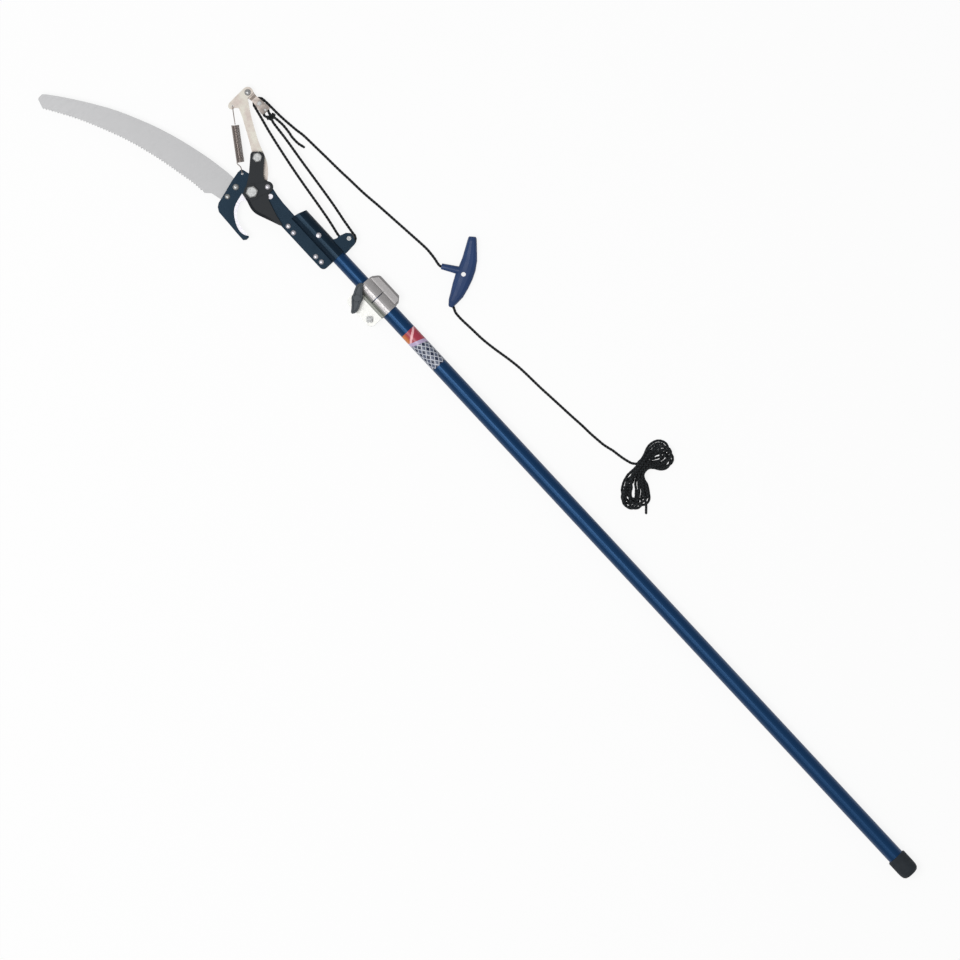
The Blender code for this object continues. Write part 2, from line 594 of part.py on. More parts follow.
def make_shell(label, side, blue, head):
    """One pressed shell: flange on the hook plate, half round over the tube, and pulley ear."""
    low = PLATE_TOP + GAP
    high = low + SHELL_THICKNESS
    start = math.degrees(math.asin(low / SHELL_BORE))
    seam = 0.00015
    inner_end = math.degrees(math.asin(seam / SHELL_BORE))
    outer_end = math.degrees(math.asin(seam / SHELL_RADIUS))
    section = [(SHELL_FLANGE_X, low), (SHELL_FLANGE_X, high), (-SHELL_RADIUS, high)]
    section += arc(0, 0, SHELL_RADIUS, 150, outer_end, 12)
    section += arc(0, 0, SHELL_BORE, inner_end, 180 - start, 13)
    mesh = plate(section, -SHELL_TOP_Y, -SHELL_FOOT_Y)
    turn = Matrix(((1, 0, 0, 0), (0, 0, -1, 0), (0, side, 0, 0), (0, 0, 0, 1)))
    bmesh.ops.transform(mesh, matrix=turn, verts=mesh.verts)
    shell = piece(label, mesh, blue, head)
    slope = [(-0.0060, SHELL_TOP_Y), (0, SHELL_TOP_Y - 0.0014), (SHELL_RADIUS + 0.002, SHELL_TOP_Y - 0.0062),
             (SHELL_RADIUS + 0.002, SHELL_TOP_Y + 0.005), (-0.0060, SHELL_TOP_Y + 0.005)]
    heel = [(SHELL_FLANGE_X - 0.003, SHELL_FOOT_Y + 0.0070), (SHELL_FLANGE_X, SHELL_FOOT_Y + 0.0070),
            (SHELL_FLANGE_X + 0.0015, SHELL_FOOT_Y + 0.0032), (SHELL_FLANGE_X + 0.0070, SHELL_FOOT_Y),
            (SHELL_FLANGE_X + 0.0070, SHELL_FOOT_Y - 0.004), (SHELL_FLANGE_X - 0.003, SHELL_FOOT_Y - 0.004)]
    reach = 2 * SHELL_RADIUS
    boolean(shell, "DIFFERENCE", cutter(label + "_slope", plate(slope, -reach, reach), head))
    boolean(shell, "DIFFERENCE", cutter(label + "_heel", plate(heel, -reach, reach), head))

    ear_low = SHEAVE_WIDTH / 2 + GAP
    ear_high = ear_low + EAR_THICKNESS
    cx, cy = LOWER_SHEAVE
    ear = [(0.0060, cy - 0.0128), (0.0150, cy - 0.0130), (cx + 0.0012, cy - 0.0118), (cx + 0.0045, cy - 0.0085),
           (cx + EAR_REACH, cy - 0.0010), (cx + EAR_REACH - 0.0003, cy + 0.0056), (cx + 0.0026, cy + 0.0093),
           (cx - 0.0082, cy + 0.0128), (0.0170, cy + 0.0128), (0.0120, cy + 0.0150), (0.0060, cy + 0.0215)]
    holes = [(cx, cy, AXLE_DIAMETER / 2 + BOLT_CLEARANCE)]
    bounds = sorted((side * ear_low, side * ear_high))
    ear_solid = cutter(label + "_ear", plate(ear, *bounds, holes), head)
    clear_radius = SHELL_BORE
    bore = turned([(0, SHELL_FOOT_Y - 0.03), (clear_radius, SHELL_FOOT_Y - 0.03),
                   (clear_radius, SHELL_TOP_Y + 0.03), (0, SHELL_TOP_Y + 0.03)], 52, along_pole())
    bore_cut = cutter(label + "_bore", bore, head)
    boolean(shell, "UNION", ear_solid)
    boolean(shell, "DIFFERENCE", bore_cut)
    shank = RIVET_DIAMETER / 2 + BOLT_CLEARANCE
    for number, (x, y) in enumerate(FLANGE_RIVETS + ((0, TUBE_RIVET_Y),), 1):
        hole = turned([(0, -reach), (shank, -reach), (shank, reach), (0, reach)], FASTENER_SIDES, upright(x, y))
        boolean(shell, "DIFFERENCE", cutter(f"{label}_hole_{number}", hole, head))


def make_saw(steel, zinc, head):
    """Curved pruning saw with alternately bevelled teeth, on two domed bolts."""
    back = [(-0.1400, 0.3212), (-0.1340, 0.3222), (-0.1273, 0.3190), (-0.1061, 0.2915), (-0.0853, 0.2609),
            (-0.0644, 0.2261), (-0.0419, 0.1776), (-0.0278, 0.1388), (-0.0187, 0.1065), (-0.0123, 0.0794),
            (-0.0072, 0.0500), (-0.0056, 0.0360)]
    gullets = [(-0.1441, 0.3080), (-0.1233, 0.2734), (-0.1093, 0.2469), (-0.0918, 0.2082), (-0.0801, 0.1777),
               (-0.0710, 0.1472), (-0.0640, 0.1198), (-0.0585, 0.0928), (-0.0540, 0.0718), (-0.0522, 0.0535)]
    tang = [(-0.0533, 0.0485), (-0.0455, 0.0400), (-0.0420, 0.0260), (-0.0385, 0.0150), (-0.0250, 0.0148),
            (-0.0100, 0.0165), (-0.0062, 0.0200)]
    root_line = spaced([(x, y, 0) for x, y in gullets], 0.001)
    run = np.array(root_line)[:, :2]
    marks = np.linspace(0, len(run) - 1, SAW_TEETH + 1)
    pick = [np.array([np.interp(m, range(len(run)), run[:, k]) for k in (0, 1)]) for m in marks]
    outline, points = [], []
    for a, b in zip(pick, pick[1:]):
        along = (b - a) / np.linalg.norm(b - a)
        out = np.array([along[1], -along[0]])
        outline.append(tuple(a))
        points.append(len(outline))
        outline.append(tuple(a + (b - a) * 0.62 + out * SAW_TOOTH_DEPTH))
    outline.append(tuple(pick[-1]))
    outline += tang + [(x, y) for x, y in reversed(smooth_line(back, 3))]
    solid = plate(outline, SAW_BOTTOM, SAW_TOP,
                  [(x, y, SAW_BOLT_DIAMETER / 2 + BOLT_CLEARANCE) for x, y in SAW_BOLTS])
    tips = {(round(outline[i][0], 6), round(outline[i][1], 6)): n for n, i in enumerate(points)}
    middle = (SAW_BOTTOM + SAW_TOP) / 2
    for vert in solid.verts:
        tooth = tips.get((round(vert.co.x, 6), round(vert.co.y, 6)))
        if tooth is None:
            continue
        keeps_top = tooth % 2 == 0
        if (vert.co.z > middle) != keeps_top:
            vert.co.z += SAW_THICKNESS * (0.5 if vert.co.z < middle else -0.5)
    bmesh.ops.translate(solid, vec=(PIVOT_X, PIVOT_Y, 0), verts=solid.verts)
    piece("saw_blade", solid, steel, head)

    shank = SAW_BOLT_DIAMETER / 2
    seat = PLATE_TOP + GAP
    nut_top = SAW_BOTTOM - GAP
    for number, (x, y) in enumerate(SAW_BOLTS, 1):
        place = upright(*from_pivot((x, y)))
        head_radius = 0.0050 if number == 1 else 0.0042
        bolt = [(0, nut_top - 0.0052), (shank, nut_top - 0.0052), (shank, seat)] + domed(head_radius, seat, 0.0026)
        piece(f"saw_bolt_{number}", turned(bolt, FASTENER_SIDES, place), zinc, head)
        bore = shank + BOLT_CLEARANCE
        nut = [(bore, nut_top), (0.0042, nut_top, "hex"), (0.0042, nut_top - 0.004, "hex"), (bore, nut_top - 0.004)]
        piece(f"saw_nut_{number}", turned(nut, FASTENER_SIDES, place), zinc, head)


def make_blade(dark, zinc, bright, lever):
    """Cutting blade with its short arm, the long lever arm behind the plate, and their bolts."""
    px, py = ARM_BOLT
    end = [(0.0508, 0.0273), (0.0520, 0.0312), (0.0510, 0.0352), (0.0418, 0.0436), (0.0396, 0.0442),
           (0.0368, 0.0430)]
    crown = [(0.0140, 0.0220), (-0.0010, 0.0118), (-0.0112, 0.0078)]
    heel = arc(0, 0, 0.0136, 148, 176, 3)
    edge = [(-0.0138, 0.0010), (-0.0152, -0.0065), (-0.0175, -0.0140), (-0.0185, -0.0215), (-0.0174, -0.0295),
            (-0.0130, -0.0410), (-0.0080, -0.0535), (-0.0040, -0.0640), (-0.0020, -0.0673)]
    edge_line = smooth_line(edge, 3)[1:]
    back = [(0.0000, -0.0655), (0.0028, -0.0515), (0.0065, -0.0380), (0.0100, -0.0265), (0.0150, -0.0195)]
    tab = arc(LOCK_SCREW[0], LOCK_SCREW[1], 0.0086, -100, 40, 6)
    throat = [(0.0262, 0.0010), (0.0300, 0.0075)]
    outline = end + crown + heel + edge_line + back + tab + throat
    holes = [(0, 0, PIVOT_BOLT_DIAMETER / 2 + BOLT_CLEARANCE), (px, py, ARM_BOLT_DIAMETER / 2 + BOLT_CLEARANCE),
             (*LOCK_SCREW, LOCK_SCREW_DIAMETER / 2 + BOLT_CLEARANCE)]
    solid = plate(outline, BLADE_BOTTOM, BLADE_TOP, holes)
    first = len(end) + len(crown) + len(heel)
    sharp = outline[first:first + len(edge_line)]
    full = offset(sharp, BLADE_BEVEL)
    last = len(sharp) - 1
    shares = [min(1, (last - i) / 9) * 0.98 for i in range(last + 1)]
    inward = [(a[0] + (b[0] - a[0]) * k, a[1] + (b[1] - a[1]) * k) for a, b, k in zip(sharp, full, shares)]
    moves = {(round(a[0], 6), round(a[1], 6)): b for a, b in zip(sharp, inward)}
    for vert in solid.verts:
        target = moves.get((round(vert.co.x, 6), round(vert.co.y, 6)))
        if target and vert.co.z > (BLADE_BOTTOM + BLADE_TOP) / 2:
            vert.co.x, vert.co.y = target
    bmesh.ops.translate(solid, vec=(PIVOT_X, PIVOT_Y, 0), verts=solid.verts)
    piece("cutting_blade", solid, dark, lever)

    strap_angle = math.degrees(math.atan2(LOCK_SCREW[1], LOCK_SCREW[0]))
    strap = arc(0, 0, 0.0122, strap_angle + 50, strap_angle + 310, 16)
    strap += arc(LOCK_SCREW[0], LOCK_SCREW[1], 0.0082, strap_angle - 80, strap_angle - 40, 2)
    strap += arc(LOCK_SCREW[0], LOCK_SCREW[1], 0.0082, strap_angle + 40, strap_angle + 80, 2)
    lock = plate(strap, LOCK_BOTTOM, LOCK_TOP, [(0, 0, PIVOT_BOLT_DIAMETER / 2 + BOLT_CLEARANCE),
                                                (*LOCK_SCREW, LOCK_SCREW_DIAMETER / 2 + BOLT_CLEARANCE)])
    bmesh.ops.translate(lock, vec=(PIVOT_X, PIVOT_Y, 0), verts=lock.verts)
    piece("lock_plate", lock, dark, lever)
    shank = LOCK_SCREW_DIAMETER / 2
    seat = LOCK_TOP + GAP
    screw = [(0, BLADE_BOTTOM), (shank, BLADE_BOTTOM), (shank, seat)] + domed(0.0042, seat, 0.0022)
    piece("lock_screw", turned(screw, FASTENER_SIDES, upright(*from_pivot(LOCK_SCREW))), bright, lever)

    tx, ty = LEVER_BOLT
    left = [(0.0790, 0.1222), (0.0650, 0.1215)]
    tab = arc(SPRING_TAB_HOLE[0] - 0.0010, SPRING_TAB_HOLE[1] + 0.0008, 0.0052, 105, 285, 6)
    shin = [(0.0712, 0.1062), (0.0665, 0.0940), (0.0590, 0.0790), (0.0500, 0.0610), (0.0380, 0.0400),
            (0.0240, 0.0230), (0.0080, 0.0135)]
    eye = arc(0, 0, 0.0148, 95, 300, 12)
    calf = [(0.0240, -0.0060), (0.0365, 0.0040), (0.0478, 0.0190), (0.0545, 0.0370), (0.0588, 0.0490),
            (0.0670, 0.0660), (0.0773, 0.0860), (0.0832, 0.0955), (0.0884, 0.1035)]
    crown = [(0.0915, 0.1081), (0.0975, 0.1080)] + arc(tx, ty, 0.0084, -45, 100, 8)
    outline = crown + left + tab + smooth_line(shin, 2) + eye + smooth_line(calf, 2)
    holes = [(0, 0, PIVOT_BOLT_DIAMETER / 2 + BOLT_CLEARANCE), (px, py, ARM_BOLT_DIAMETER / 2 + BOLT_CLEARANCE),
             (tx, ty, LEVER_BOLT_DIAMETER / 2 + BOLT_CLEARANCE), (*SPRING_TAB_HOLE, SPRING_HOLE_DIAMETER / 2)]
    arm = plate(outline, LEVER_BOTTOM, LEVER_TOP, holes)
    bmesh.ops.translate(arm, vec=(PIVOT_X, PIVOT_Y, 0), verts=arm.verts)
    piece("lever_arm", arm, zinc, lever)

    through_bolt("pivot", 0, 0, PIVOT_BOLT_DIAMETER, PIVOT_ACROSS_FLATS, PIVOT_HEAD_HEIGHT, LOCK_TOP,
                 LEVER_BOTTOM, zinc, lever)
    through_bolt("arm", px, py, ARM_BOLT_DIAMETER, ARM_ACROSS_FLATS, 0.0040, BLADE_TOP, LEVER_BOTTOM, zinc, lever)
    sleeve_radius = ARM_SLEEVE_DIAMETER / 2
    bore = ARM_BOLT_DIAMETER / 2 + BOLT_CLEARANCE
    sleeve = [(bore, -PLATE_TOP), (sleeve_radius, -PLATE_TOP), (sleeve_radius, PLATE_TOP), (bore, PLATE_TOP)]
    piece("arm_sleeve", turned(sleeve, 16, upright(*from_pivot(ARM_BOLT))), zinc, lever)


def through_bolt(label, x, y, diameter, flats, head_height, top, bottom, material, body):
    """A hexagon bolt from above with its nut below, both on the pieces they clamp."""
    shank = diameter / 2
    seat = top + GAP
    nut_top = bottom - GAP
    nut_height = diameter * 0.72
    end = nut_top - nut_height - 0.001
    corner = flats / 2
    bolt = [(0, end), (shank - 0.0005, end), (shank, end + 0.0005), (shank, seat), (corner, seat, "hex"),
            (corner, seat + head_height * 0.8, "hex"), (corner * 0.86, seat + head_height), (0, seat + head_height)]
    place = upright(*from_pivot((x, y)))
    piece(label + "_bolt", turned(bolt, FASTENER_SIDES, place), material, body)
    bore = shank + BOLT_CLEARANCE
    nut = [(bore, nut_top), (corner, nut_top, "hex"), (corner, nut_top - nut_height, "hex"),
           (bore, nut_top - nut_height)]
    piece(label + "_nut", turned(nut, FASTENER_SIDES, place), material, body)


def strip(rows, thickness):
    """A bent plate from rows of y, left x, right x and the height of its lower side."""
    mesh = bmesh.new()
    rings = []
    for y, left, right, z in rows:
        corners = ((left, z), (right, z), (right, z + thickness), (left, z + thickness))
        rings.append([mesh.verts.new((x, y, h)) for x, h in corners])
    for a, b in zip(rings, rings[1:]):
        for k in range(4):
            mesh.faces.new((a[k], a[(k + 1) % 4], b[(k + 1) % 4], b[k]))
    mesh.faces.new(rings[0])
    mesh.faces.new(rings[-1])
    return mesh


def make_block(zinc, nylon, rope, lever, block, sheave):
    """Upper pulley block behind the lever's end: cheeks, sheave, pins, rope loop and knot."""
    upper, hang, knot = rope_positions()
    half = SHEAVE_WIDTH / 2
    near = half + GAP
    rear_top = TACKLE_Z - near
    tab_bottom = rear_top + GAP
    shank = LEVER_BOLT_DIAMETER / 2
    bore = shank + BOLT_CLEARANCE
    axle = AXLE_DIAMETER / 2
    pin = (upper[0], upper[1] - BECKET_PIN_DROP)
    pin_radius = BECKET_PIN_DIAMETER / 2
    widths = ((0.0062, -0.0030, 0.0030), (0.0044, -0.0050, 0.0050), (0.0010, -0.0062, 0.0062),
              (-0.0060, -0.0060, 0.0068), (-0.0088, -0.0052, 0.0062), (-0.0135, -0.0044, 0.0058),
              (-0.0240, -0.0052, 0.0072), (-0.0345, -0.0068, 0.0086), (-0.0385, -0.0068, 0.0088),
              (-0.0404, -0.0050, 0.0070))
    heights = (tab_bottom,) * 5 + (TACKLE_Z + near,) * 5
    rows = [(hang[1] + y, hang[0] + a, hang[0] + b, z) for (y, a, b), z in zip(widths, heights)]
    front = piece("cheek_front", strip(rows, CHEEK_THICKNESS), zinc, block)
    rows = [(y, a, b, rear_top - CHEEK_THICKNESS) for y, a, b, z in rows]
    rear = piece("cheek_rear", strip(rows, CHEEK_THICKNESS), zinc, block)
    holes = (("hang", hang, bore), ("axle", upper, axle + BOLT_CLEARANCE), ("pin", pin, pin_radius + BOLT_CLEARANCE))
    for label, spot, radius in holes:
        drill = turned([(0, -0.03), (radius, -0.03), (radius, 0.03), (0, 0.03)], FASTENER_SIDES, upright(*spot))
        tool = cutter("cheek_hole_" + label, drill, block)
        boolean(front, "DIFFERENCE", tool)
        boolean(rear, "DIFFERENCE", tool)

    seat = LEVER_TOP + GAP
    nut_top = rear_top - CHEEK_THICKNESS - GAP
    bolt = [(0, nut_top - 0.0046), (shank, nut_top - 0.0046), (shank, seat)] + domed(0.0050, seat, 0.0026)
    piece("hanger_bolt", turned(bolt, FASTENER_SIDES, upright(*hang)), zinc, lever)
    nut = [(bore, nut_top), (0.0042, nut_top, "hex"), (0.0042, nut_top - 0.0036, "hex"), (bore, nut_top - 0.0036)]
    piece("hanger_nut", turned(nut, FASTENER_SIDES, upright(*hang)), zinc, lever)

    cheek_out = near + CHEEK_THICKNESS
    place = Matrix.Translation((upper[0], upper[1], TACKLE_Z))
    piece("upper_axle", turned(axle_profile(axle, cheek_out), FASTENER_SIDES, place), zinc, block)
    piece("upper_sheave", turned(sheave_profile(UPPER_PITCH_RADIUS), 20, place), nylon, sheave)
    place = Matrix.Translation((pin[0], pin[1], TACKLE_Z))
    piece("becket_pin", turned(axle_profile(pin_radius, cheek_out), 8, place), zinc, block)

    round_pin = pin_radius + GAP + ROPE_DIAMETER / 2
    legs = [(knot[0] - 0.0042, knot[1] + 0.0049, TACKLE_Z), (pin[0] - round_pin - 0.0002, pin[1] - 0.0030, TACKLE_Z)]
    legs += [(x, y, TACKLE_Z) for x, y in arc(*pin, round_pin, 180, 0, 6)]
    legs += [(pin[0] + round_pin - 0.0002, pin[1] - 0.0030, TACKLE_Z), (knot[0] + 0.0020, knot[1] + 0.0051, TACKLE_Z)]
    cord("becket_loop", legs, ROPE_DIAMETER, rope, block)
    lump = bmesh.new()
    bmesh.ops.create_icosphere(lump, subdivisions=2, radius=1)
    bmesh.ops.scale(lump, vec=(0.0080, 0.0048, 0.0046), verts=lump.verts)
    bmesh.ops.translate(lump, vec=(knot[0], knot[1], TACKLE_Z), verts=lump.verts)
    piece("becket_knot", lump, rope, block)
    tail = [(0.0724, 1.4814), (0.0735, 1.4694), (0.0736, 1.4626), (0.0726, 1.4505), (0.0714, 1.4437),
            (0.0716, 1.4310), (0.0742, 1.4205)]
    drop = [(x, y, TACKLE_Z + (ROPE_ON_FLOOR - TACKLE_Z) * min(1, (tail[0][1] - y) / 0.045)) for x, y in tail]
    cord("knot_tail", spaced(drop, ROPE_STEP * 0.7), ROPE_DIAMETER, rope, block)


def axle_profile(radius, grip):
    """A headed pin through two plates whose outer faces are grip from its middle."""
    seat = grip + GAP
    head = radius * 1.7
    return [(0, -seat - 0.001), (head, -seat - 0.001), (head, -seat), (radius, -seat), (radius, seat),
            (head, seat), (head, seat + 0.001), (0, seat + 0.001)]


def sheave_profile(pitch_radius):
    """A grooved nylon wheel whose rope lies at the pitch radius."""
    bore = AXLE_DIAMETER / 2 + GAP
    half = SHEAVE_WIDTH / 2
    groove = pitch_radius - ROPE_DIAMETER / 2 - GAP
    rim = pitch_radius - SHEAVE_RIM
    lip = half - SHEAVE_RIM
    return [(bore, -half), (rim, -half), (rim, -lip), (groove + 0.0006, -lip * 0.65), (groove, 0),
            (groove + 0.0006, lip * 0.65), (rim, lip), (rim, half), (bore, half)]


def make_tackle(rope, zinc, nylon, head, tackle, sheave):
    """Lower sheave with its axle, and the rope from the becket round it and back up."""
    upper, hang, knot = rope_positions()
    cx, cy = LOWER_SHEAVE
    place = upright(cx, cy)
    ear_high = SHEAVE_WIDTH / 2 + GAP + EAR_THICKNESS
    piece("lower_axle", turned(axle_profile(AXLE_DIAMETER / 2, ear_high), FASTENER_SIDES, place), zinc, head)
    piece("lower_sheave", turned(sheave_profile(LOWER_PITCH_RADIUS), 20, place), nylon, sheave)

    radius = LOWER_PITCH_RADIUS
    down = [(0.0666, 1.4814), (0.0626, 1.4470), (0.0574, 1.4079), (0.0534, 1.3737), (0.0482, 1.3308),
            (0.0430, 1.2980)]
    up = [(0.0222, 1.2900), (0.0280, 1.3216), (0.0368, 1.3867), (0.0430, 1.4261), (0.0507, 1.4678),
          (0.0568, 1.4946), (upper[0] - UPPER_PITCH_RADIUS - 0.0001, upper[1])]
    fall = [(x, y, TACKLE_Z * (y - cy) / (upper[1] - cy)) for x, y in down]
    rise = [(x, y, TACKLE_Z * (y - cy) / (upper[1] - cy)) for x, y in up]
    first = spaced(fall, ROPE_STEP)
    last = spaced(rise, ROPE_STEP)
    bend = [(x, y, 0) for x, y in arc(cx, cy, radius, 8, -188, 8)]
    cord("tackle_rope", first + bend + last, ROPE_DIAMETER, rope, tackle)


def handle_middle():
    """The height of the T-handle's middle as it lies on the floor."""
    return FLOOR_Z + HANDLE_THICKNESS / 2


def stem_point(distance):
    """A point on the T-handle's stem axis, out from the mouth for a positive distance."""
    mouth = Vector((*HANDLE_STEM_MOUTH, handle_middle()))
    out = (mouth - Vector((*HANDLE_STEM_BASE, handle_middle()))).normalized()
    return tuple(mouth + out * distance)


def make_pull_rope(rope, lead):
    """Free rope from over the upper sheave down to the T-handle's stem."""
    upper, hang, knot = rope_positions()
    over = [(x, y, TACKLE_Z) for x, y in arc(*upper, UPPER_PITCH_RADIUS, 176, 6, 8)]
    floor = ROPE_ON_FLOOR
    route = [(0.0787, 1.5060, TACKLE_Z), (0.0799, 1.4779, -0.0080), (0.0832, 1.4483, floor), (0.0857, 1.4333, floor),
             (0.0874, 1.4034, floor), (0.0883, 1.3871, floor), (0.0897, 1.3572, floor), (0.0911, 1.3385, floor),
             (0.0930, 1.3085, floor), (0.0964, 1.2788, floor), (0.0995, 1.2469, floor), (0.1024, 1.2170, floor),
             (0.1050, 1.1871, floor), (0.1046, 1.1720, floor + 0.0010), (0.1022, 1.1600, floor + 0.0030)]
    line = over + spaced(route, ROPE_STEP) + [stem_point(0.0060), stem_point(0.0010)]
    line.append(stem_point(GAP - HANDLE_BORE_DEPTH))
    cord("pull_rope", line, ROPE_DIAMETER, rope, lead)


def make_handle(plastic, handle):
    """T-handle moulding: a curved grip of oval section, with the rope's stem and bores."""
    spine = [(0.0718, 1.0944), (0.0733, 1.0952), (0.0800, 1.0982), (0.0915, 1.1018), (0.1050, 1.1080),
             (0.1185, 1.1145), (0.1300, 1.1200), (0.1417, 1.1273), (0.1556, 1.1388), (0.1630, 1.1450),
             (0.1668, 1.1483), (0.1680, 1.1494)]
    widths = (0.0050, 0.0080, 0.0140, 0.0205, 0.0250, 0.0272, 0.0260, 0.0230, 0.0175, 0.0145, 0.0126, 0.0098)
    middle = handle_middle()
    mesh = bmesh.new()
    pts = np.array(spine)
    along = np.gradient(pts, axis=0)
    rings = []
    for (x, y), (dx, dy), width in zip(pts, along, widths):
        length = math.hypot(dx, dy)
        side = Vector((-dy / length, dx / length, 0))
        tall = min(HANDLE_THICKNESS, width * 1.15) / 2
        ring = []
        for k in range(16):
            a = 2 * math.pi * k / 16
            spread = math.copysign(abs(math.cos(a)) ** 0.8, math.cos(a)) * width / 2
            lift = math.copysign(abs(math.sin(a)) ** 0.8, math.sin(a)) * tall
            ring.append(mesh.verts.new(Vector((x, y, middle)) + side * spread + Vector((0, 0, lift))))
        rings.append(ring)
    for a, b in zip(rings, rings[1:]):
        for k in range(16):
            mesh.faces.new((a[k], a[(k + 1) % 16], b[(k + 1) % 16], b[k]))
    mesh.faces.new(rings[0])
    mesh.faces.new(rings[-1])
    grip = piece("t_handle", mesh, plastic, handle)

    base = Vector((*HANDLE_STEM_BASE, middle))
    axis = Vector(stem_point(0)) - base
    place = Matrix.Translation(base) @ axis.to_track_quat("Z", "Y").to_matrix().to_4x4()
    mouth = axis.length
    wide = HANDLE_STEM_BASE_DIAMETER / 2
    narrow = HANDLE_STEM_MOUTH_DIAMETER / 2
    stem = turned([(0, 0), (wide, 0), (narrow, mouth), (0, mouth)], 20, place)
    boolean(grip, "UNION", cutter("handle_stem", stem, handle))
    bore = HANDLE_ROPE_BORE / 2
    drill = turned([(0, mouth - HANDLE_BORE_DEPTH), (bore, mouth - HANDLE_BORE_DEPTH), (bore, mouth + 0.004),
                    (0, mouth + 0.004)], 12, place)
    boolean(grip, "DIFFERENCE", cutter("handle_stem_bore", drill, handle))
    inside = Vector((*HANDLE_TAIL_END, middle))
    outward = Vector((*HANDLE_TAIL_MOUTH, middle)) - inside
    place = Matrix.Translation(inside) @ outward.to_track_quat("Z", "Y").to_matrix().to_4x4()
    drill = turned([(0, 0), (bore, 0), (bore, outward.length), (0, outward.length)], 12, place)
    boolean(grip, "DIFFERENCE", cutter("handle_tail_bore", drill, handle))
    x, y = HANDLE_HOLE
    eye = HANDLE_HOLE_DIAMETER / 2
    through = turned([(0, -0.03), (eye, -0.03), (eye, 0.03), (0, 0.03)], 16, upright(x, y))
    boolean(grip, "DIFFERENCE", cutter("handle_hole", through, handle))


def make_rope_tail(rope, handle):
    """Free rope from the T-handle's lower end to the hank."""
    floor = ROPE_ON_FLOOR
    middle = handle_middle()
    inside = Vector((*HANDLE_TAIL_END, middle))
    outward = (Vector((*HANDLE_TAIL_MOUTH, middle)) - inside).normalized()
    first = [tuple(inside + outward * GAP), (*HANDLE_TAIL_MOUTH, middle)]
    route = [(0.0716, 1.0815, middle - 0.0028), (0.0714, 1.0690, floor), (0.0728, 1.0492, floor),
             (0.0743, 1.0267, floor), (0.0776, 1.0044, floor), (0.0834, 0.9742, floor), (0.0863, 0.9518, floor),
             (0.0885, 0.9139, floor), (0.0904, 0.8914, floor), (0.0935, 0.8525, floor), (0.0956, 0.8301, floor),
             (0.0967, 0.8119, floor), (0.0992, 0.7894, floor), (0.1018, 0.7755, floor), (0.1060, 0.7560, floor),
             (0.1100, 0.7430, floor)]
    hank = hank_points()
    start = Vector(hank[0])
    heading = (Vector(hank[1]) - start).normalized()
    meet = start - heading * GAP
    last = [tuple(meet - heading * 0.0050), tuple(meet)]
    cord("pull_rope_tail", first + spaced(route, ROPE_STEP) + last, ROPE_DIAMETER, rope, handle)


def least_gap(points, diameter, skip):
    """The least gap between a wound line's turns, measured along its straight pieces."""
    known = np.array(points)
    shares = np.linspace(0, 1, 6)[:-1]
    line = np.concatenate([a + np.outer(shares, b - a) for a, b in zip(known, known[1:])])
    least = 1.0
    for i in range(len(line) - skip * 5):
        far = np.linalg.norm(line[i + skip * 5:] - line[i], axis=1)
        least = min(least, far.min() - diameter)
    return least


def ramp(value, start, end):
    """0 before start, 1 after end, and eased between them."""
    share = min(1, max(0, (value - start) / (end - start)))
    return share * share * (3 - 2 * share)


def hank_points():
    """The hank's loops as one line: a bent oval drawn in at the waist, wound in and out in
    layers. The rope steps in or out before the place where the layer under it climbed."""
    wx, wy = HANK_WAIST
    spine = [(wx - 0.0470, wy - 0.0370), (wx - 0.0240, wy - 0.0160), (wx, wy - 0.0010),
             (wx + 0.0240, wy - 0.0020), (wx + 0.0480, wy - 0.0105)]
    line = np.array(smooth_line(spine, 16))
    run = np.concatenate([[0], np.cumsum(np.linalg.norm(np.diff(line, axis=0), axis=1))])
    slope = np.gradient(line, axis=0)
    slope /= np.linalg.norm(slope, axis=1)[:, None]
    waist_at = run[32]
    half = run[-1] / 2
    points = []
    for k in range(round(HANK_TURNS * HANK_POINTS_PER_TURN) + 1):
        turn = k / HANK_POINTS_PER_TURN
        angle = math.pi / 2 - 2 * math.pi * turn
        layer = sum(ramp(turn, n * HANK_TURNS_PER_LAYER - 0.10, n * HANK_TURNS_PER_LAYER + 0.10)
                    for n in range(1, 9))
        steps = [ramp(turn, n * HANK_TURNS_PER_LAYER + 0.75, n * HANK_TURNS_PER_LAYER + 0.90) for n in range(9)]
        inward = HANK_STEP * sum(s if n % 2 == 0 else -s for n, s in enumerate(steps))
        drawn_in = HANK_SHRINK * layer
        lobe = HANK_LOBE - drawn_in - inward
        waist = HANK_WAIST_WIDTH - inward * 0.92
        u = half + (half - drawn_in - inward) * math.cos(angle)
        drawn = math.exp(-((u - waist_at) / HANK_WAIST_LENGTH) ** 2)
        side = math.sin(angle) * (lobe - (lobe - waist) * drawn)
        spot = [np.interp(u, run, line[:, i]) for i in (0, 1)]
        way = [np.interp(u, run, slope[:, i]) for i in (0, 1)]
        points.append((spot[0] - way[1] * side, spot[1] + way[0] * side, ROPE_ON_FLOOR + layer * HANK_RISE))
    heading = (Vector(points[-1]) - Vector(points[-2])).normalized()
    points += [tuple(Vector(points[-1]) + heading * (HANK_TAIL * k / 2)) for k in (1, 2)]
    return points


def make_hank(rope, handle):
    """The spare rope, wound in a hank drawn in at its waist."""
    points = hank_points()
    print("hank gap to itself, mm:", round(least_gap(points, ROPE_DIAMETER, 10) * 1000, 2))
    cord("rope_hank", points, ROPE_DIAMETER, rope, handle, 1)


def spring_frame():
    """The spring's two holes, and its axis from the hook plate's hole to the lever's tab."""
    low = Vector((*from_pivot(SPRING_HOOK_HOLE), 0))
    high = Vector((*from_pivot(SPRING_TAB_HOLE), 0))
    return low, high, (high - low).normalized()


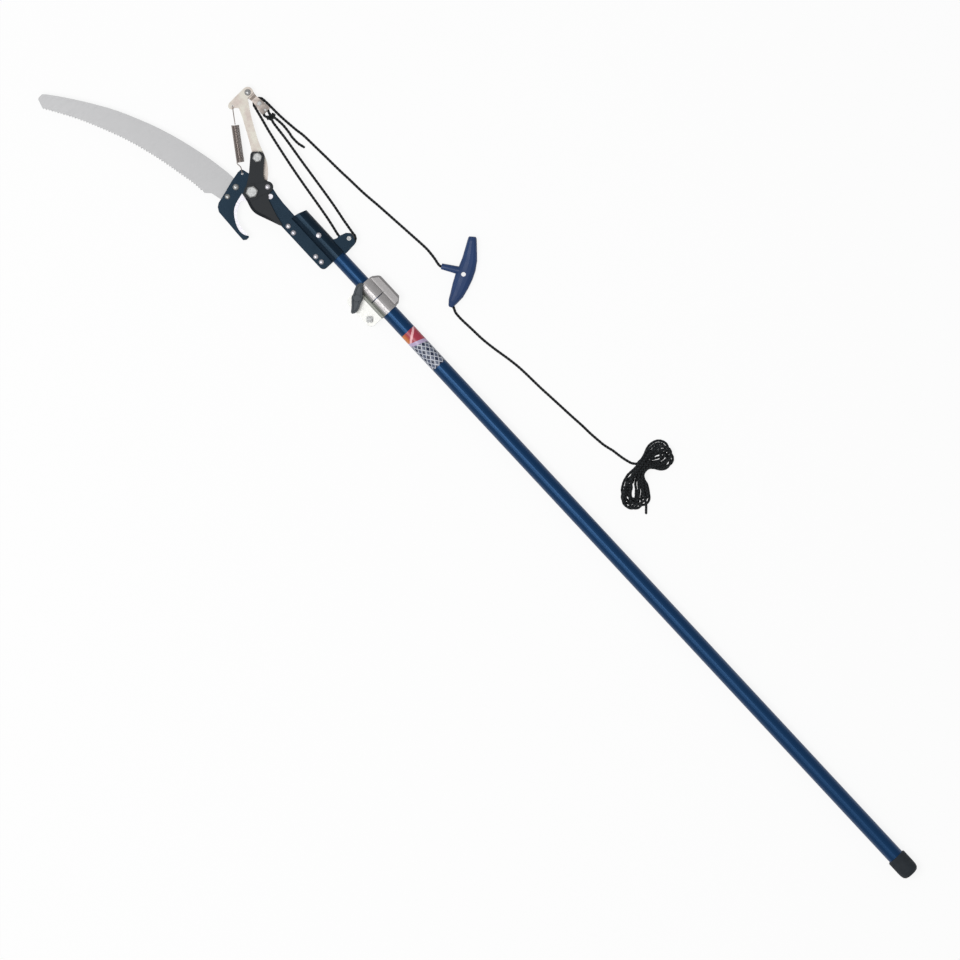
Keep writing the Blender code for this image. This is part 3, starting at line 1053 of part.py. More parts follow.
def make_spring(wire, lower, upper, lever):
    """Tension spring: close curls with a straight hook end below, the shank of its upper hook
    and the hook's end, which stands in the tab's hole."""
    low, high, axis = spring_frame()
    across = Vector((-axis.y, axis.x, 0))
    up = Vector((0, 0, 1))
    radius = (SPRING_DIAMETER - SPRING_WIRE) / 2
    start = low + axis * 0.0175
    rise = SPRING_BODY_LENGTH / SPRING_CURLS
    curls = []
    total = SPRING_CURLS * SPRING_POINTS_PER_CURL
    for k in range(total + 1):
        a = 2 * math.pi * k / SPRING_POINTS_PER_CURL
        centre = start + axis * (rise * k / SPRING_POINTS_PER_CURL)
        curls.append(centre + across * (radius * math.cos(a)) + up * (radius * math.sin(a)))
    print("spring gap to itself, mm:", round(least_gap(curls, SPRING_WIRE, 6) * 1000, 2))
    hole = SPRING_WIRE * 0.62
    reach = PLATE_TOP + 0.0022
    eye = [low - up * reach - axis * 0.0004, low - up * (reach * 0.4), low + up * (reach * 0.5),
           low + up * reach + axis * 0.0008, low + up * (reach - 0.0006) + axis * 0.0045,
           low + axis * 0.0105 + up * 0.0012 + across * hole, start - axis * 0.0022 + across * radius * 0.9]
    cord("return_spring", [tuple(p) for p in eye + curls], SPRING_WIRE, wire, lower, 1)

    plate_mid = (LEVER_TOP + LEVER_BOTTOM) / 2
    pull = (SPRING_HOLE_DIAMETER - SPRING_WIRE) / 2 - GAP
    tab = Vector((high.x, high.y, plate_mid)) - axis * pull
    end = start + axis * (SPRING_BODY_LENGTH + SPRING_WIRE + 0.0012)
    rise = LEVER_THICKNESS / 2 + HOOK_RISE
    shank = [tab + up * rise + axis * (SPRING_WIRE / 2), tab + up * rise - axis * 0.0055,
             end + axis * 0.0070 + up * 0.0008, end + axis * 0.0030, end]
    cord("spring_hook", [tuple(p) for p in shank], SPRING_WIRE, wire, upper, 1)
    top = rise - SPRING_WIRE / 2 - GAP
    foot = LEVER_THICKNESS / 2 + HOOK_RISE - SPRING_WIRE
    cord("hook_end", [tuple(tab - up * foot), tuple(tab), tuple(tab + up * top)], SPRING_WIRE, wire, lever, 2)


def lay_down(base, bodies_without_rope):
    """Moves the model so that it lies on Z = 0 with the box of its rigid pieces on the origin."""
    bpy.context.view_layer.update()
    corners = []
    for item in bpy.data.objects:
        if item.hide_render or item.type == "EMPTY" or item.name not in bodies_without_rope:
            continue
        corners += [item.matrix_world @ Vector(c) for c in item.bound_box]
    low = Vector([min(c[i] for c in corners) for i in range(3)])
    high = Vector([max(c[i] for c in corners) for i in range(3)])
    base["empty"].location = (-(low.x + high.x) / 2, -(low.y + high.y) / 2, -FLOOR_Z)


def build():
    """Makes every piece on its body."""
    clear_scene()
    blue_tube = finish("tube_enamel", (24, 54, 102), 0.2, 0.32)
    blue_plate = finish("plate_enamel", (36, 58, 88), 0.2, 0.42)
    rubber = finish("cap_rubber", (52, 56, 60), 0.0, 0.7)
    cast = finish("cast_aluminium", (168, 168, 166), 1.0, 0.42)
    zinc = finish("zinc_plated_steel", (214, 208, 200), 1.0, 0.35)
    black = finish("black_nylon", (66, 72, 80), 0.0, 0.5)
    nylon = finish("natural_nylon", (210, 206, 196), 0.0, 0.45)
    bright = finish("bright_steel", (216, 216, 220), 1.0, 0.25)
    saw_steel = finish("saw_steel", (196, 196, 198), 1.0, 0.38)
    coated = finish("coated_blade_steel", (62, 66, 72), 0.3, 0.45)
    wire = finish("spring_steel", (116, 108, 104), 1.0, 0.4)
    rope = finish("black_braided_rope", (24, 24, 26), 0.0, 0.85)
    handle_plastic = finish("blue_handle_plastic", (46, 72, 116), 0.0, 0.42)

    root = group("pole_frame", 0, 0, 0, None)
    knob = group("knob_axis", CLAMP_BOLT_X, CLAMP_BOLT_Y, 0, root)
    head = group("head_slide", 0, INNER_FOOT_Y, 0, root)
    lever = group("blade_pivot_axis", PIVOT_X, PIVOT_Y, 0, head)
    upper, hang, knot = rope_positions()
    block = group("block_swivel_axis", hang[0], hang[1], TACKLE_Z, lever)
    upper_wheel = group("upper_sheave_axis", upper[0], upper[1], TACKLE_Z, block)
    lower_wheel = group("lower_sheave_axis", *LOWER_SHEAVE, 0, head)
    tackle = group("tackle_axis", *LOWER_SHEAVE, 0, head)
    spring_low = group("spring_axis", *from_pivot(SPRING_HOOK_HOLE), 0, head)
    spring_high = group("spring_stretch", *from_pivot(SPRING_TAB_HOLE), 0, spring_low)
    lead = group("rope_lead", upper[0], upper[1], TACKLE_Z, head)
    handle = group("handle_pull", *HANDLE_HOLE, FLOOR_Z, lead)

    make_pole(blue_tube, rubber, cast, zinc, black, root, knob)
    make_inner_tube(blue_tube, nylon, head)
    make_plates(blue_plate, bright, head)
    make_saw(saw_steel, zinc, head)
    make_blade(coated, zinc, bright, lever)
    make_block(zinc, black, rope, lever, block, upper_wheel)
    make_tackle(rope, zinc, black, head, tackle, lower_wheel)
    make_spring(wire, spring_low, spring_high, lever)
    make_pull_rope(rope, lead)
    make_handle(handle_plastic, handle)
    make_rope_tail(rope, handle)
    make_hank(rope, handle)
    free_rope = ("pull_rope", "pull_rope_tail", "rope_hank")
    lay_down(root, [o.name for o in bpy.data.objects if o.name not in free_rope])


build()
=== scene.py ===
import json
import math

import bmesh
import bpy
import numpy as np
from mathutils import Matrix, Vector


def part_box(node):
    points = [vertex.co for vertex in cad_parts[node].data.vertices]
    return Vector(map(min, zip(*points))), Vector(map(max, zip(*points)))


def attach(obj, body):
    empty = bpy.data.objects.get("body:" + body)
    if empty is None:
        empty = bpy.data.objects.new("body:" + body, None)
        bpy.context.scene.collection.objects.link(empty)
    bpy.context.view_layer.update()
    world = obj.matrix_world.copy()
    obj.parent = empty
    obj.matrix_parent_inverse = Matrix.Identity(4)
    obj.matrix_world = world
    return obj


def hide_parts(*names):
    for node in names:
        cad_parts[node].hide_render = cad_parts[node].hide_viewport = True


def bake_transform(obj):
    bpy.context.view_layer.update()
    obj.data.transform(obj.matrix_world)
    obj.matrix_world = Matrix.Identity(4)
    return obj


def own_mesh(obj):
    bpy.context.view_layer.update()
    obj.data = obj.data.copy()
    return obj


bl_info = {
    "name": "Telescopic Tree Lopper",
    "version": (1, 0, 0),
    "blender": (4, 5, 0),
    "location": "3D View > Sidebar > Lopper",
    "description": "Finishes, ropes, spring and stage for a telescopic tree lopper",
    "category": "Object",
}

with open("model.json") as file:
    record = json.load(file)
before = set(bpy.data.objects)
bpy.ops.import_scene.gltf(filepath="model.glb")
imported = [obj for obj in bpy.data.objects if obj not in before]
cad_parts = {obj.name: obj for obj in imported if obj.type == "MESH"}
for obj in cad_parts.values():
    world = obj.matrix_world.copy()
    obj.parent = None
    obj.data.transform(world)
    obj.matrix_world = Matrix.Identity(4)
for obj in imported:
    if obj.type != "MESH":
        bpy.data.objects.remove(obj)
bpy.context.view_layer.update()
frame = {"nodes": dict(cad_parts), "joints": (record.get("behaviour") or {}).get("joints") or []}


def joint_place(name):
    """Where a joint stands, in the row frame."""
    return next(Vector(joint["pos_m"]) for joint in frame["joints"] if joint["name"] == name)


# The drawing's own coordinates run along the pole's axis from its foot. The blade's pivot
# stands at (-29.0, 1423.2) mm in them, which places the drawing in the row frame.
ORIGIN = joint_place("blade_pivot") - Vector((-0.0290, 1.4232, 0))
FLOOR = -ORIGIN.z

# Heights of the middle of a rope that lies on the floor, of the upper block and of the T-handle.
ROPE_LAY = FLOOR + 0.00215
TACKLE_Z = -0.0038
HANDLE_MIDDLE = FLOOR + 0.008

# The two sheaves, the radii at which the rope runs over them, the becket's pin under the upper
# one, and the knot under the pin.
UPPER = Vector((0.0695, 1.5132, 0))
LOWER = Vector((0.0302, 1.2732, 0))
UPPER_RADIUS = 0.0085
LOWER_RADIUS = 0.0097
PIN_DROP = 0.0131
PIN_RADIUS = 0.0012
KNOT = Vector((0.0690, 1.4864, TACKLE_Z))

# Where the pull rope enters the T-handle's stem, and where the spare rope leaves its grip.
STEM_MOUTH = Vector((0.1036, 1.1486, HANDLE_MIDDLE))
STEM_BASE = Vector((0.1190, 1.1255, HANDLE_MIDDLE))
TAIL_MOUTH = Vector((0.0733, 1.0872, HANDLE_MIDDLE))
TAIL_END = Vector((0.0782, 1.0975, HANDLE_MIDDLE))

# The spring's two holes, its wire and its curls, and the two plates that it hooks into.
SPRING_LOW = Vector((-0.0210, 1.4535, 0))
SPRING_HIGH = Vector((0.0375, 1.5382, 0))
SPRING_HOLE = 0.0032
WIRE = 0.0015
COIL_WIDTH = 0.0122
COIL_START = 0.0175
COIL_LENGTH = 0.056
CURLS = 36
CURL_POINTS = 24
PLATE_HALF = 0.002
LEVER_HALF = 0.0015
LEVER_MIDDLE = -0.0038
HOOK_RISE = 0.0021
CLEARANCE = 0.0003

KNOB = Vector((-0.0222, 1.1988, 0))
TUBE_RADIUS = 0.0125
FILM = 0.00012
BAND_SIDES = 48

# The step between a rope's points, the sides of its skin, and what swells a strand of the braid:
# 1 would be a sine wave, and less makes it fuller.
ROPE_STEP = 0.0010
ROPE_SIDES = 16
BRAID_SWELL = 0.6

FLOOR_HALF = 30
# The share of the floor's look that is plain white. The rest of it keeps the shadow.
FLOOR_GLOW = 0.88
CAMERA_PLACE = Vector((-0.07239, 0.87423, 0))
CAMERA_TURN = -42.898


def shade(text):
    """An sRGB hex colour as linear red, green and blue."""
    values = [int(text[k:k + 2], 16) / 255 for k in (1, 3, 5)]
    return tuple(v / 12.92 if v <= 0.04045 else ((v + 0.055) / 1.055) ** 2.4 for v in values)


def colour(name, description, text):
    """A colour property with its default as sRGB hex."""
    return bpy.props.FloatVectorProperty(
        name=name, description=description, subtype="COLOR", size=3, min=0, max=1, default=shade(text))


def length(name, description, metres):
    """A length property in metres."""
    return bpy.props.FloatProperty(
        name=name, description=description, subtype="DISTANCE", unit="LENGTH", min=0, default=metres)


class LopperRopeSettings(bpy.types.PropertyGroup):
    """Sizes and colours of the ropes and the hank."""

    diameter: length("Diameter", "Thickness of the braided rope", 0.004)
    braid_pitch: length("Braid pitch", "Length of one diamond of the braid", 0.0050)
    relief: length("Braid relief", "Height of the braid's strands", 0.00034)
    light: colour("Strand", "Colour of the strands' crowns", "#2c3134")
    # Painted shade: the near-black drawn in the hollows between the braid's strands.
    strand_gap_shade: colour("Gap", "Colour between the strands", "#040405")


class LopperPaintSettings(bpy.types.PropertyGroup):
    """Colours of the painted, plated and moulded pieces."""

    tube: colour("Tubes", "Gloss enamel of the two tubes", "#08294c")
    tube_gloss: colour("Tube gloss", "Tint of the enamel's shine", "#7db9ff")
    plate_gloss: colour("Plate gloss", "Tint of the satin enamel's shine", "#a4cdf0")
    plate: colour("Head plates", "Satin enamel of the hook and socket", "#0f1d2a")
    blade: colour("Cutting blade", "Low-friction coating of the blade", "#1f2327")
    lever: colour("Lever", "Warm tone of the lever's plating", "#c6bab2")
    lever_bright: colour("Lever, bright", "Paler, greener patches of the plating", "#ccc8bd")
    block: colour("Block", "Plating of the upper block, duller than the lever's", "#756e69")
    cast: colour("Clamp", "Cast aluminium of the clamp", "#b4b1b1")
    # Painted shade: the barrel's left flank beside the ears, and at half this tone a thin line at the
    # ears' foot.
    cast_flank_shade: colour("Clamp, dull", "Unpolished skin beside the ears", "#868982")
    # Painted highlight: the ears' faces are drawn in this paler grey by their place across the clamp.
    cast_ear_highlight: colour("Clamp, milled", "Milled faces of the ears", "#dcdcd8")
    knob: colour("Wing knob", "Filled nylon of the wing knob", "#474e54")
    nylon: colour("Sheaves", "Black nylon of the sheaves", "#2c2f33")
    handle: colour("T-handle", "Moulded plastic of the handle", "#26406d")
    cap: colour("End cap", "Rubber of the end cap", "#2d3339")
    saw: colour("Saw", "Ground steel of the saw", "#a0a0a1")


class LopperBandSettings(bpy.types.PropertyGroup):
    """Size and colours of the printed band on the pole."""

    start: length("Start", "Where the band starts, from the pole's foot", 1.0420)
    end: length("End", "Where the band ends, from the pole's foot", 1.1110)
    diamond: length("Diamond", "Width of one diamond of the lattice", 0.0078)
    red: colour("Red", "Field at the head end", "#a8384a")
    orange: colour("Orange", "Edge of the red field", "#c8743c")
    pink: colour("Pink", "Stripe in the red field", "#f0b8bc")
    lilac: colour("Lilac", "Stripe between the two fields", "#b9a9c9")
    pale: colour("Pale", "Lines of the lattice", "#c3c7d0")
    slate: colour("Slate", "Paler diamonds", "#5d6579")
    navy: colour("Navy", "Dark diamonds", "#222c45")


class LopperStageSettings(bpy.types.PropertyGroup):
    """Floor, lamps and camera."""

    floor: colour("Floor", "Colour of the floor", "#f7f7f7")
    sky: bpy.props.FloatProperty(
        name="Sky", description="Light from all round", min=0, max=2, default=0.42)
    lamp: bpy.props.FloatProperty(
        name="Lamp", description="Power of the soft lamp", subtype="POWER", unit="POWER", min=0,
        default=118)
    reach: length("Lamp distance", "From the pole's middle to the lamp", 4.5)
    lamp_width: length("Lamp width", "Across the pole", 1.9)
    lamp_length: length("Lamp length", "Along the pole", 2.4)
    lamp_middle: length("Lamp middle", "How far up from the pole's foot the lamp hangs", 1.62)
    lean: bpy.props.FloatProperty(
        name="Lean", description="How far the lamp leans to the left of straight above",
        subtype="ANGLE", unit="ROTATION", default=math.radians(18))
    view: length("View", "Width of floor that the camera sees", 1.440)
    distance: length("Distance", "Height of the camera over the pole", 10.0)


def put(node, inputs):
    """Fills a node's sockets. Each takes a value, a colour of three numbers, a link from a socket,
    or a link from the first socket that another node puts out."""
    for name, value in inputs.items():
        socket = node.inputs[name]
        if isinstance(value, bpy.types.Node):
            value = next(out for out in value.outputs if out.enabled)
        if isinstance(value, bpy.types.NodeSocket):
            node.id_data.links.new(socket, value)
        else:
            socket.default_value = (*value, 1) if socket.type == "RGBA" else value


def add(tree, kind, inputs=None, **settings):
    """Adds a node with its settings, its values and its links, and returns it."""
    made = tree.nodes.new(kind)
    for name, value in settings.items():
        setattr(made, name, value)
    put(made, inputs or {})
    return made


def finish(name, **values):
    """A new material's tree and shader, with the given values on the shader's own sockets."""
    made = bpy.data.materials.new(name)
    made.use_nodes = True
    tree = made.node_tree
    shader = tree.nodes["Principled BSDF"]
    put(shader, {socket.replace("_", " "): value for socket, value in values.items()})
    return tree, shader


def darker(three, share):
    """A colour scaled towards black."""
    return tuple(c * share for c in three)


def clouds(tree, width, detail, finer=None, place=None):
    """A pattern of soft clouds, so many millimetres wide, on the piece's own coordinates or those
    given. Where finer is given, they are so many times finer along each of the three ways."""
    if place is None:
        place = add(tree, "ShaderNodeTexCoord").outputs["Object"]
    if finer:
        place = add(tree, "ShaderNodeMapping", {"Vector": place, "Scale": finer})
    return add(tree, "ShaderNodeTexNoise", {"Vector": place, "Scale": 1000 / width, "Detail": detail})


def two_tone(tree, first, second, measure, low=0.3, high=0.7):
    """Two colours: the first where a measure is under its low value, the second where it is over
    its high one, and a blend between them."""
    share = add(tree, "ShaderNodeMapRange", {"Value": measure, "From Min": low, "From Max": high})
    return add(tree, "ShaderNodeMix", {"Factor": share, "A": first, "B": second}, data_type="RGBA")


def cover(shader, tone, grain, height, rub=None, glossy=0.0, dull=1.0, low=0.3, high=0.7):
    """Gives a shader its colour and a grain of a height in metres. Where a pattern rubs it, its
    roughness goes from glossy, at the pattern's low value, to dull at its high one."""
    tree = shader.id_data
    put(shader, {"Base Color": tone,
                 "Normal": add(tree, "ShaderNodeBump", {"Height": grain, "Distance": height})})
    if rub:
        put(shader, {"Roughness": add(tree, "ShaderNodeMapRange", {
            "Value": rub, "From Min": low, "From Max": high, "To Min": glossy, "To Max": dull})})


def tube_enamel(paint):
    """Gloss enamel on drawn aluminium tube: wet, hard highlights over the sprayer's orange peel,
    2.4 mm wide. Handling has left long clouds of two blues and scuffs along the tube. Real scuffs
    are about 0.2 mm wide. They are drawn 1.1 mm wide, so that they show."""
    tree, shader = finish(
        "gloss_enamel_tube", Roughness=0.34, Specular_IOR_Level=0.8, Specular_Tint=paint.tube_gloss)
    tone = two_tone(tree, darker(paint.tube, 0.86), paint.tube, clouds(tree, 71.43, 3, (1, 0.25, 1)))
    scuffs = clouds(tree, 1.111, 2, (1, 0.04, 1))
    cover(shader, tone, clouds(tree, 2.381, 1), 0.00003, scuffs, 0.34, 0.44, low=0.35, high=0.75)


def plate_enamel(paint):
    """Satin enamel on pressed steel: the 0.7 mm pebble of sprayed powder, rubbed duller and paler
    in places of about 20 mm."""
    tree, shader = finish(
        "satin_enamel_plate", Roughness=0.34, Specular_IOR_Level=0.34, Specular_Tint=paint.plate_gloss)
    tone = two_tone(tree, darker(paint.plate, 0.78), paint.plate, clouds(tree, 16.67, 4))
    cover(shader, tone, clouds(tree, 0.714, 1), 0.00005, clouds(tree, 22.22, 3), 0.28, 0.44)


def blade_coating(paint):
    """Baked low-friction coating on blade steel: charcoal and smooth, with faint grinding lines
    that show through. Real ones are 0.05 mm apart. They are drawn 0.6 mm wide and 5.6 mm long, so
    that they show."""
    tree, shader = finish("baked_coating_blade", Roughness=0.4, Metallic=0.1, Specular_IOR_Level=0.2)
    lines = clouds(tree, 16.67, 2, (30, 3, 1))
    tone = two_tone(tree, darker(paint.blade, 0.82), paint.blade, lines)
    cover(shader, tone, lines, 0.00002, lines, 0.34, 0.46)


def lever_plating(name, main, patch):
    """Zinc plating on pressed steel: pale, slightly warm metal, cloudy in places of 14 mm, over
    the sheet's rolling lines. These are 0.1 mm wide, and are drawn 0.8 mm wide to show."""
    tree, shader = finish(name, Metallic=0.3, Roughness=0.42)
    warm = two_tone(tree, darker(main, 0.86), main, clouds(tree, 2.381, 3))
    tone = two_tone(tree, patch, warm, clouds(tree, 14.286, 4), 0.38, 0.62)
    cover(shader, tone, clouds(tree, 11.11, 2, (2, 14, 1)), 0.00002, clouds(tree, 6.25, 3), 0.28, 0.42)


def cast_aluminium(paint):
    """Die-cast aluminium, tumbled: pale grey with a shallow grain that softens its shine. A real
    grain is about 0.3 mm wide. It is drawn 1.1 mm wide, so that it shows."""
    tree, shader = finish("die_cast_aluminium", Metallic=0.45, Roughness=0.38)
    barrel = two_tone(tree, darker(paint.cast, 0.86), paint.cast, clouds(tree, 12.5, 4))
    place = add(tree, "ShaderNodeTexCoord").outputs["Object"]
    place = add(tree, "ShaderNodeSeparateXYZ", {"Vector": place})
    across = add(tree, "ShaderNodeMath", {0: place.outputs["X"], 1: ORIGIN.x}, operation="SUBTRACT")
    # From the left, painted by place: a painted highlight on the ears' faces, a painted shade line at
    # the foot of the ears, painted shade down the barrel's left flank, the barrel's polished skin, and
    # painted shade on the spine's right side. Each starts between two places, in metres from the pole's
    # axis.
    skin = paint.cast_ear_highlight
    for following, start, end in (
            (darker(paint.cast_flank_shade, 0.5), -0.0157, -0.0153), (paint.cast_flank_shade, -0.0149, -0.0145),
            # The clamp's grey at 0.62 is painted shade on the spine's right side.
            (barrel, -0.0085, -0.0070), (darker(paint.cast, 0.62), 0.0125, 0.0165)):
        skin = two_tone(tree, skin, following, across, start, end)
    cover(shader, skin, clouds(tree, 1.111, 2), 0.00006, clouds(tree, 3.333, 3), 0.3, 0.46)


def filled_nylon(paint):
    """Glass-filled nylon, injection moulded: dull grey-black with a spark-eroded grain. A real
    grain is about 0.1 mm wide. It is drawn 0.6 mm wide, so that it shows."""
    tree, shader = finish("moulded_filled_nylon", Roughness=0.46, Specular_IOR_Level=0.35)
    tone = two_tone(tree, darker(paint.knob, 0.8), paint.knob, clouds(tree, 4.167, 3))
    cover(shader, tone, clouds(tree, 0.625, 1), 0.00008)


def black_nylon(paint):
    """Black nylon, injection moulded: near-black and smooth, with a dusting of wear in patches of
    5.6 mm. Its grain is finer than the 0.7 mm drawn."""
    tree, shader = finish("moulded_black_nylon", Roughness=0.44, Specular_IOR_Level=0.35)
    tone = two_tone(tree, darker(paint.nylon, 0.6), paint.nylon, clouds(tree, 5.556, 3), 0.35, 0.75)
    cover(shader, tone, clouds(tree, 0.667, 1), 0.00005)


def natural_nylon():
    """Unfilled nylon, turned: milky off-white that lets a little light in. The turning marks,
    0.2 mm wide, are drawn as a grain of 0.8 mm, so that they show."""
    tree, shader = finish(
        "turned_natural_nylon", Roughness=0.42, Subsurface_Weight=0.15, Subsurface_Scale=0.002)
    tone = two_tone(tree, shade("#c9c4b6"), shade("#dcd8cc"), clouds(tree, 3.333, 2))
    cover(shader, tone, clouds(tree, 0.833, 1), 0.00003)


def handle_plastic(paint):
    """Polypropylene, injection moulded: even blue with a soft satin grain, greyer in places of
    25 mm where it is held. The grain, 0.1 mm wide, is drawn 0.7 mm wide to show."""
    tree, shader = finish("moulded_polypropylene", Roughness=0.44, Specular_IOR_Level=0.3)
    tone = two_tone(tree, darker(paint.handle, 0.84), paint.handle, clouds(tree, 25, 4))
    cover(shader, tone, clouds(tree, 0.667, 1), 0.00006, clouds(tree, 11.11, 3), 0.36, 0.5)


def moulded_rubber(paint):
    """Vulcanised rubber, moulded: matt charcoal with rubbed, dusty patches of 8 mm over the
    0.9 mm pebble of its mould."""
    tree, shader = finish("moulded_rubber", Roughness=0.7, Specular_IOR_Level=0.2)
    tone = two_tone(tree, darker(paint.cap, 0.72), paint.cap, clouds(tree, 8.333, 4), 0.35, 0.7)
    cover(shader, tone, clouds(tree, 0.909, 2), 0.00010)


def saw_steel(paint):
    """Ground carbon steel: light satin metal with fine lines across the blade. Real grinding lines
    are about 0.1 mm wide. They are drawn 0.8 mm wide and 10 mm long, so that they show."""
    tree, shader = finish("ground_saw_steel", Metallic=0.6, Roughness=0.42)
    lines = clouds(tree, 20, 3, (2, 26, 1))
    tone = two_tone(tree, darker(paint.saw, 0.93), paint.saw, lines)
    cover(shader, tone, lines, 0.000015, lines, 0.34, 0.46)


def bright_steel():
    """Nickel-plated steel, tumbled: clean bright metal on rivets and the counter blade, with the
    1.4 mm dents and 2.5 mm clouds that the tumbling leaves."""
    tree, shader = finish("nickel_plated_steel", Metallic=0.6, Roughness=0.34)
    tone = two_tone(tree, shade("#b9b7bd"), shade("#d2d0d6"), clouds(tree, 2.5, 3))
    cover(shader, tone, clouds(tree, 1.429, 2), 0.00002)


def zinc_steel():
    """Zinc-plated steel, turned and forged: bright grey bolts and nuts. Their marks, 0.2 mm wide,
    are drawn 1.1 mm wide, and the plating's clouds are 2 to 3 mm wide."""
    tree, shader = finish("zinc_plated_fastener", Metallic=0.6, Roughness=0.36)
    tone = two_tone(tree, shade("#8f9090"), shade("#b4b5b4"), clouds(tree, 2.857, 3))
    cover(shader, tone, clouds(tree, 1.111, 2), 0.00003, clouds(tree, 2, 2), 0.26, 0.4)


def spring_steel():
    """Oiled spring wire, drawn: brown-grey metal with lines along the wire, 25 mm long and too fine
    to part, which the eye sees as one satin."""
    tree, shader = finish("drawn_spring_wire", Metallic=0.85, Roughness=0.33)
    # The map counts metres along the wire and turns round it, so that 480 lines go round.
    lay = add(tree, "ShaderNodeUVMap", uv_map="lay")
    lines = clouds(tree, 25, 2, (1, 12, 1), lay)
    tone = two_tone(tree, shade("#7c726d"), shade("#aca29d"), lines)
    cover(shader, tone, lines, 0.00002)


def braided_rope(rope):
    """Braided polyester rope: matt black, strands in a diamond lay, with painted shade between the
    strands that leaves the crowns a little paler.
    A real 16-strand braid's diamonds are about 2.5 mm long and 3 mm wide. They are drawn 5 mm
    long and 6.3 mm wide, 2 round the rope, so that they show as the beads of the real one do."""
    tree, shader = finish("braided_polyester", Roughness=0.8, Specular_IOR_Level=0.2, Sheen_Weight=0.08,
                          Sheen_Roughness=0.5)
    lay = add(tree, "ShaderNodeUVMap", uv_map="lay")
    place = add(tree, "ShaderNodeSeparateXYZ", {"Vector": lay})
    run, turn = [add(tree, "ShaderNodeMath", {0: place.outputs[way], 1: scale}, operation="MULTIPLY")
                 for way, scale in (("X", math.pi / rope.braid_pitch), ("Y", math.pi * 2))]
    waves = []
    for kind in ("ADD", "SUBTRACT"):
        wave = add(tree, "ShaderNodeMath", {0: run, 1: turn}, operation=kind)
        wave = add(tree, "ShaderNodeMath", {0: wave}, operation="SINE")
        waves.append(add(tree, "ShaderNodeMath", {0: wave}, operation="ABSOLUTE"))
    strands = add(tree, "ShaderNodeMath", {0: waves[0], 1: waves[1]}, operation="MULTIPLY")
    crowns = add(tree, "ShaderNodeMath", {0: strands, 1: BRAID_SWELL}, operation="POWER")
    # Fluff of 0.4 mm mottles the crowns, and fibres 2.8 mm long, too fine to part, lie along the
    # rope, 1,800 round it.
    fluffy = add(tree, "ShaderNodeMath", {0: crowns, 1: clouds(tree, 0.4, 2)}, operation="MULTIPLY")
    fibres = clouds(tree, 2.778, 1, (1, 5, 1), lay)
    cover(shader, two_tone(tree, rope.strand_gap_shade, rope.light, fluffy, 0.12, 0.52), fibres, 0.00006)


def printed_band(band):
    """Printed vinyl film wrapped on the tube: flat inks under a clear, slightly glossy film, which
    follows the 2 mm peel of the enamel under it."""
    tree, shader = finish("printed_vinyl_film", Roughness=0.34, Specular_IOR_Level=0.4)
    lay = add(tree, "ShaderNodeUVMap", uv_map="lay")
    place = add(tree, "ShaderNodeSeparateXYZ", {"Vector": lay})

    def slanted(along, across):
        """A slanted measure over the film: so much along and so much across, in metres."""
        first = add(tree, "ShaderNodeMath", {0: place.outputs["X"], 1: along}, operation="MULTIPLY")
        return add(tree, "ShaderNodeMath", {0: place.outputs["Y"], 1: across, 2: first},
                   operation="MULTIPLY_ADD")

    # A lattice of crossed slanting lines, with diamonds of two tones by turns between them.
    waves = []
    for way in (1.0, -1.0):
        phase = add(tree, "ShaderNodeMath", {0: slanted(0.8, way), 1: math.pi / band.diamond},
                    operation="MULTIPLY")
        waves.append(add(tree, "ShaderNodeMath", {0: phase}, operation="SINE"))
    lines = [add(tree, "ShaderNodeMath", {0: wave}, operation="ABSOLUTE") for wave in waves]
    nearer = add(tree, "ShaderNodeMath", {0: lines[0], 1: lines[1]}, operation="MINIMUM")
    by_turns = add(tree, "ShaderNodeMath", {0: waves[0], 1: waves[1]}, operation="MULTIPLY")
    diamonds = two_tone(tree, band.navy, band.slate, by_turns, -0.02, 0.02)
    lattice = two_tone(tree, band.pale, diamonds, nearer, 0.26, 0.36)
    # The red field starts on a slant, behind a lilac stripe. It has an orange edge and a pink stripe.
    slant = slanted(1.0, 0.35)
    stripe = add(tree, "ShaderNodeMath", {0: slanted(1.0, -0.7), 1: 0.0600, 2: 0.0022},
                 operation="COMPARE")
    field = two_tone(tree, band.orange, band.red, place.outputs["Y"], -0.0105, -0.0045)
    field = add(tree, "ShaderNodeMix", {"Factor": stripe, "A": field, "B": band.pink}, data_type="RGBA")
    inks = two_tone(tree, lattice, band.lilac, slant, 0.0430, 0.0434)
    inks = two_tone(tree, inks, field, slant, 0.0490, 0.0494)
    cover(shader, inks, clouds(tree, 2, 1), 0.00002)


def smooth(points, steps):
    """Points on a smooth curve through the given ones (Catmull-Rom), steps to a span."""
    known = np.array(points, float)
    known = np.vstack([2 * known[0] - known[1], known, 2 * known[-1] - known[-2]])
    line = []
    for a, b, c, d in zip(known, known[1:], known[2:], known[3:]):
        for t in np.arange(steps) / steps:
            line.append(0.5 * (2 * b + (c - a) * t + (2 * a - 5 * b + 4 * c - d) * t ** 2
                               + (3 * b - a - 3 * c + d) * t ** 3))
    line.append(known[-2])
    return np.array(line)


def run_of(line):
    """The distance along the line at each of its points."""
    return np.concatenate([[0], np.cumsum(np.linalg.norm(np.diff(line, axis=0), axis=1))])


def even(line, step):
    """The line's points at an even step."""
    line = np.array(line, float)
    run = run_of(line)
    marks = np.linspace(0, run[-1], max(2, round(run[-1] / step) + 1))
    return np.stack([np.interp(marks, run, line[:, k]) for k in range(3)], axis=1)


def frames(line):
    """The way of the line at each point, and two directions across it, carried without twist."""
    ways = np.gradient(line, axis=0)
    ways /= np.linalg.norm(ways, axis=1)[:, None]
    side = np.cross(ways[0], (0, 0, 1.0))
    if np.linalg.norm(side) < 1e-6:
        side = np.array((1.0, 0, 0))
    sides = []
    for way in ways:
        side = side - way * side.dot(way)
        side = side / np.linalg.norm(side)
        sides.append(side)
    sides = np.array(sides)
    return ways, sides, np.cross(ways, sides)


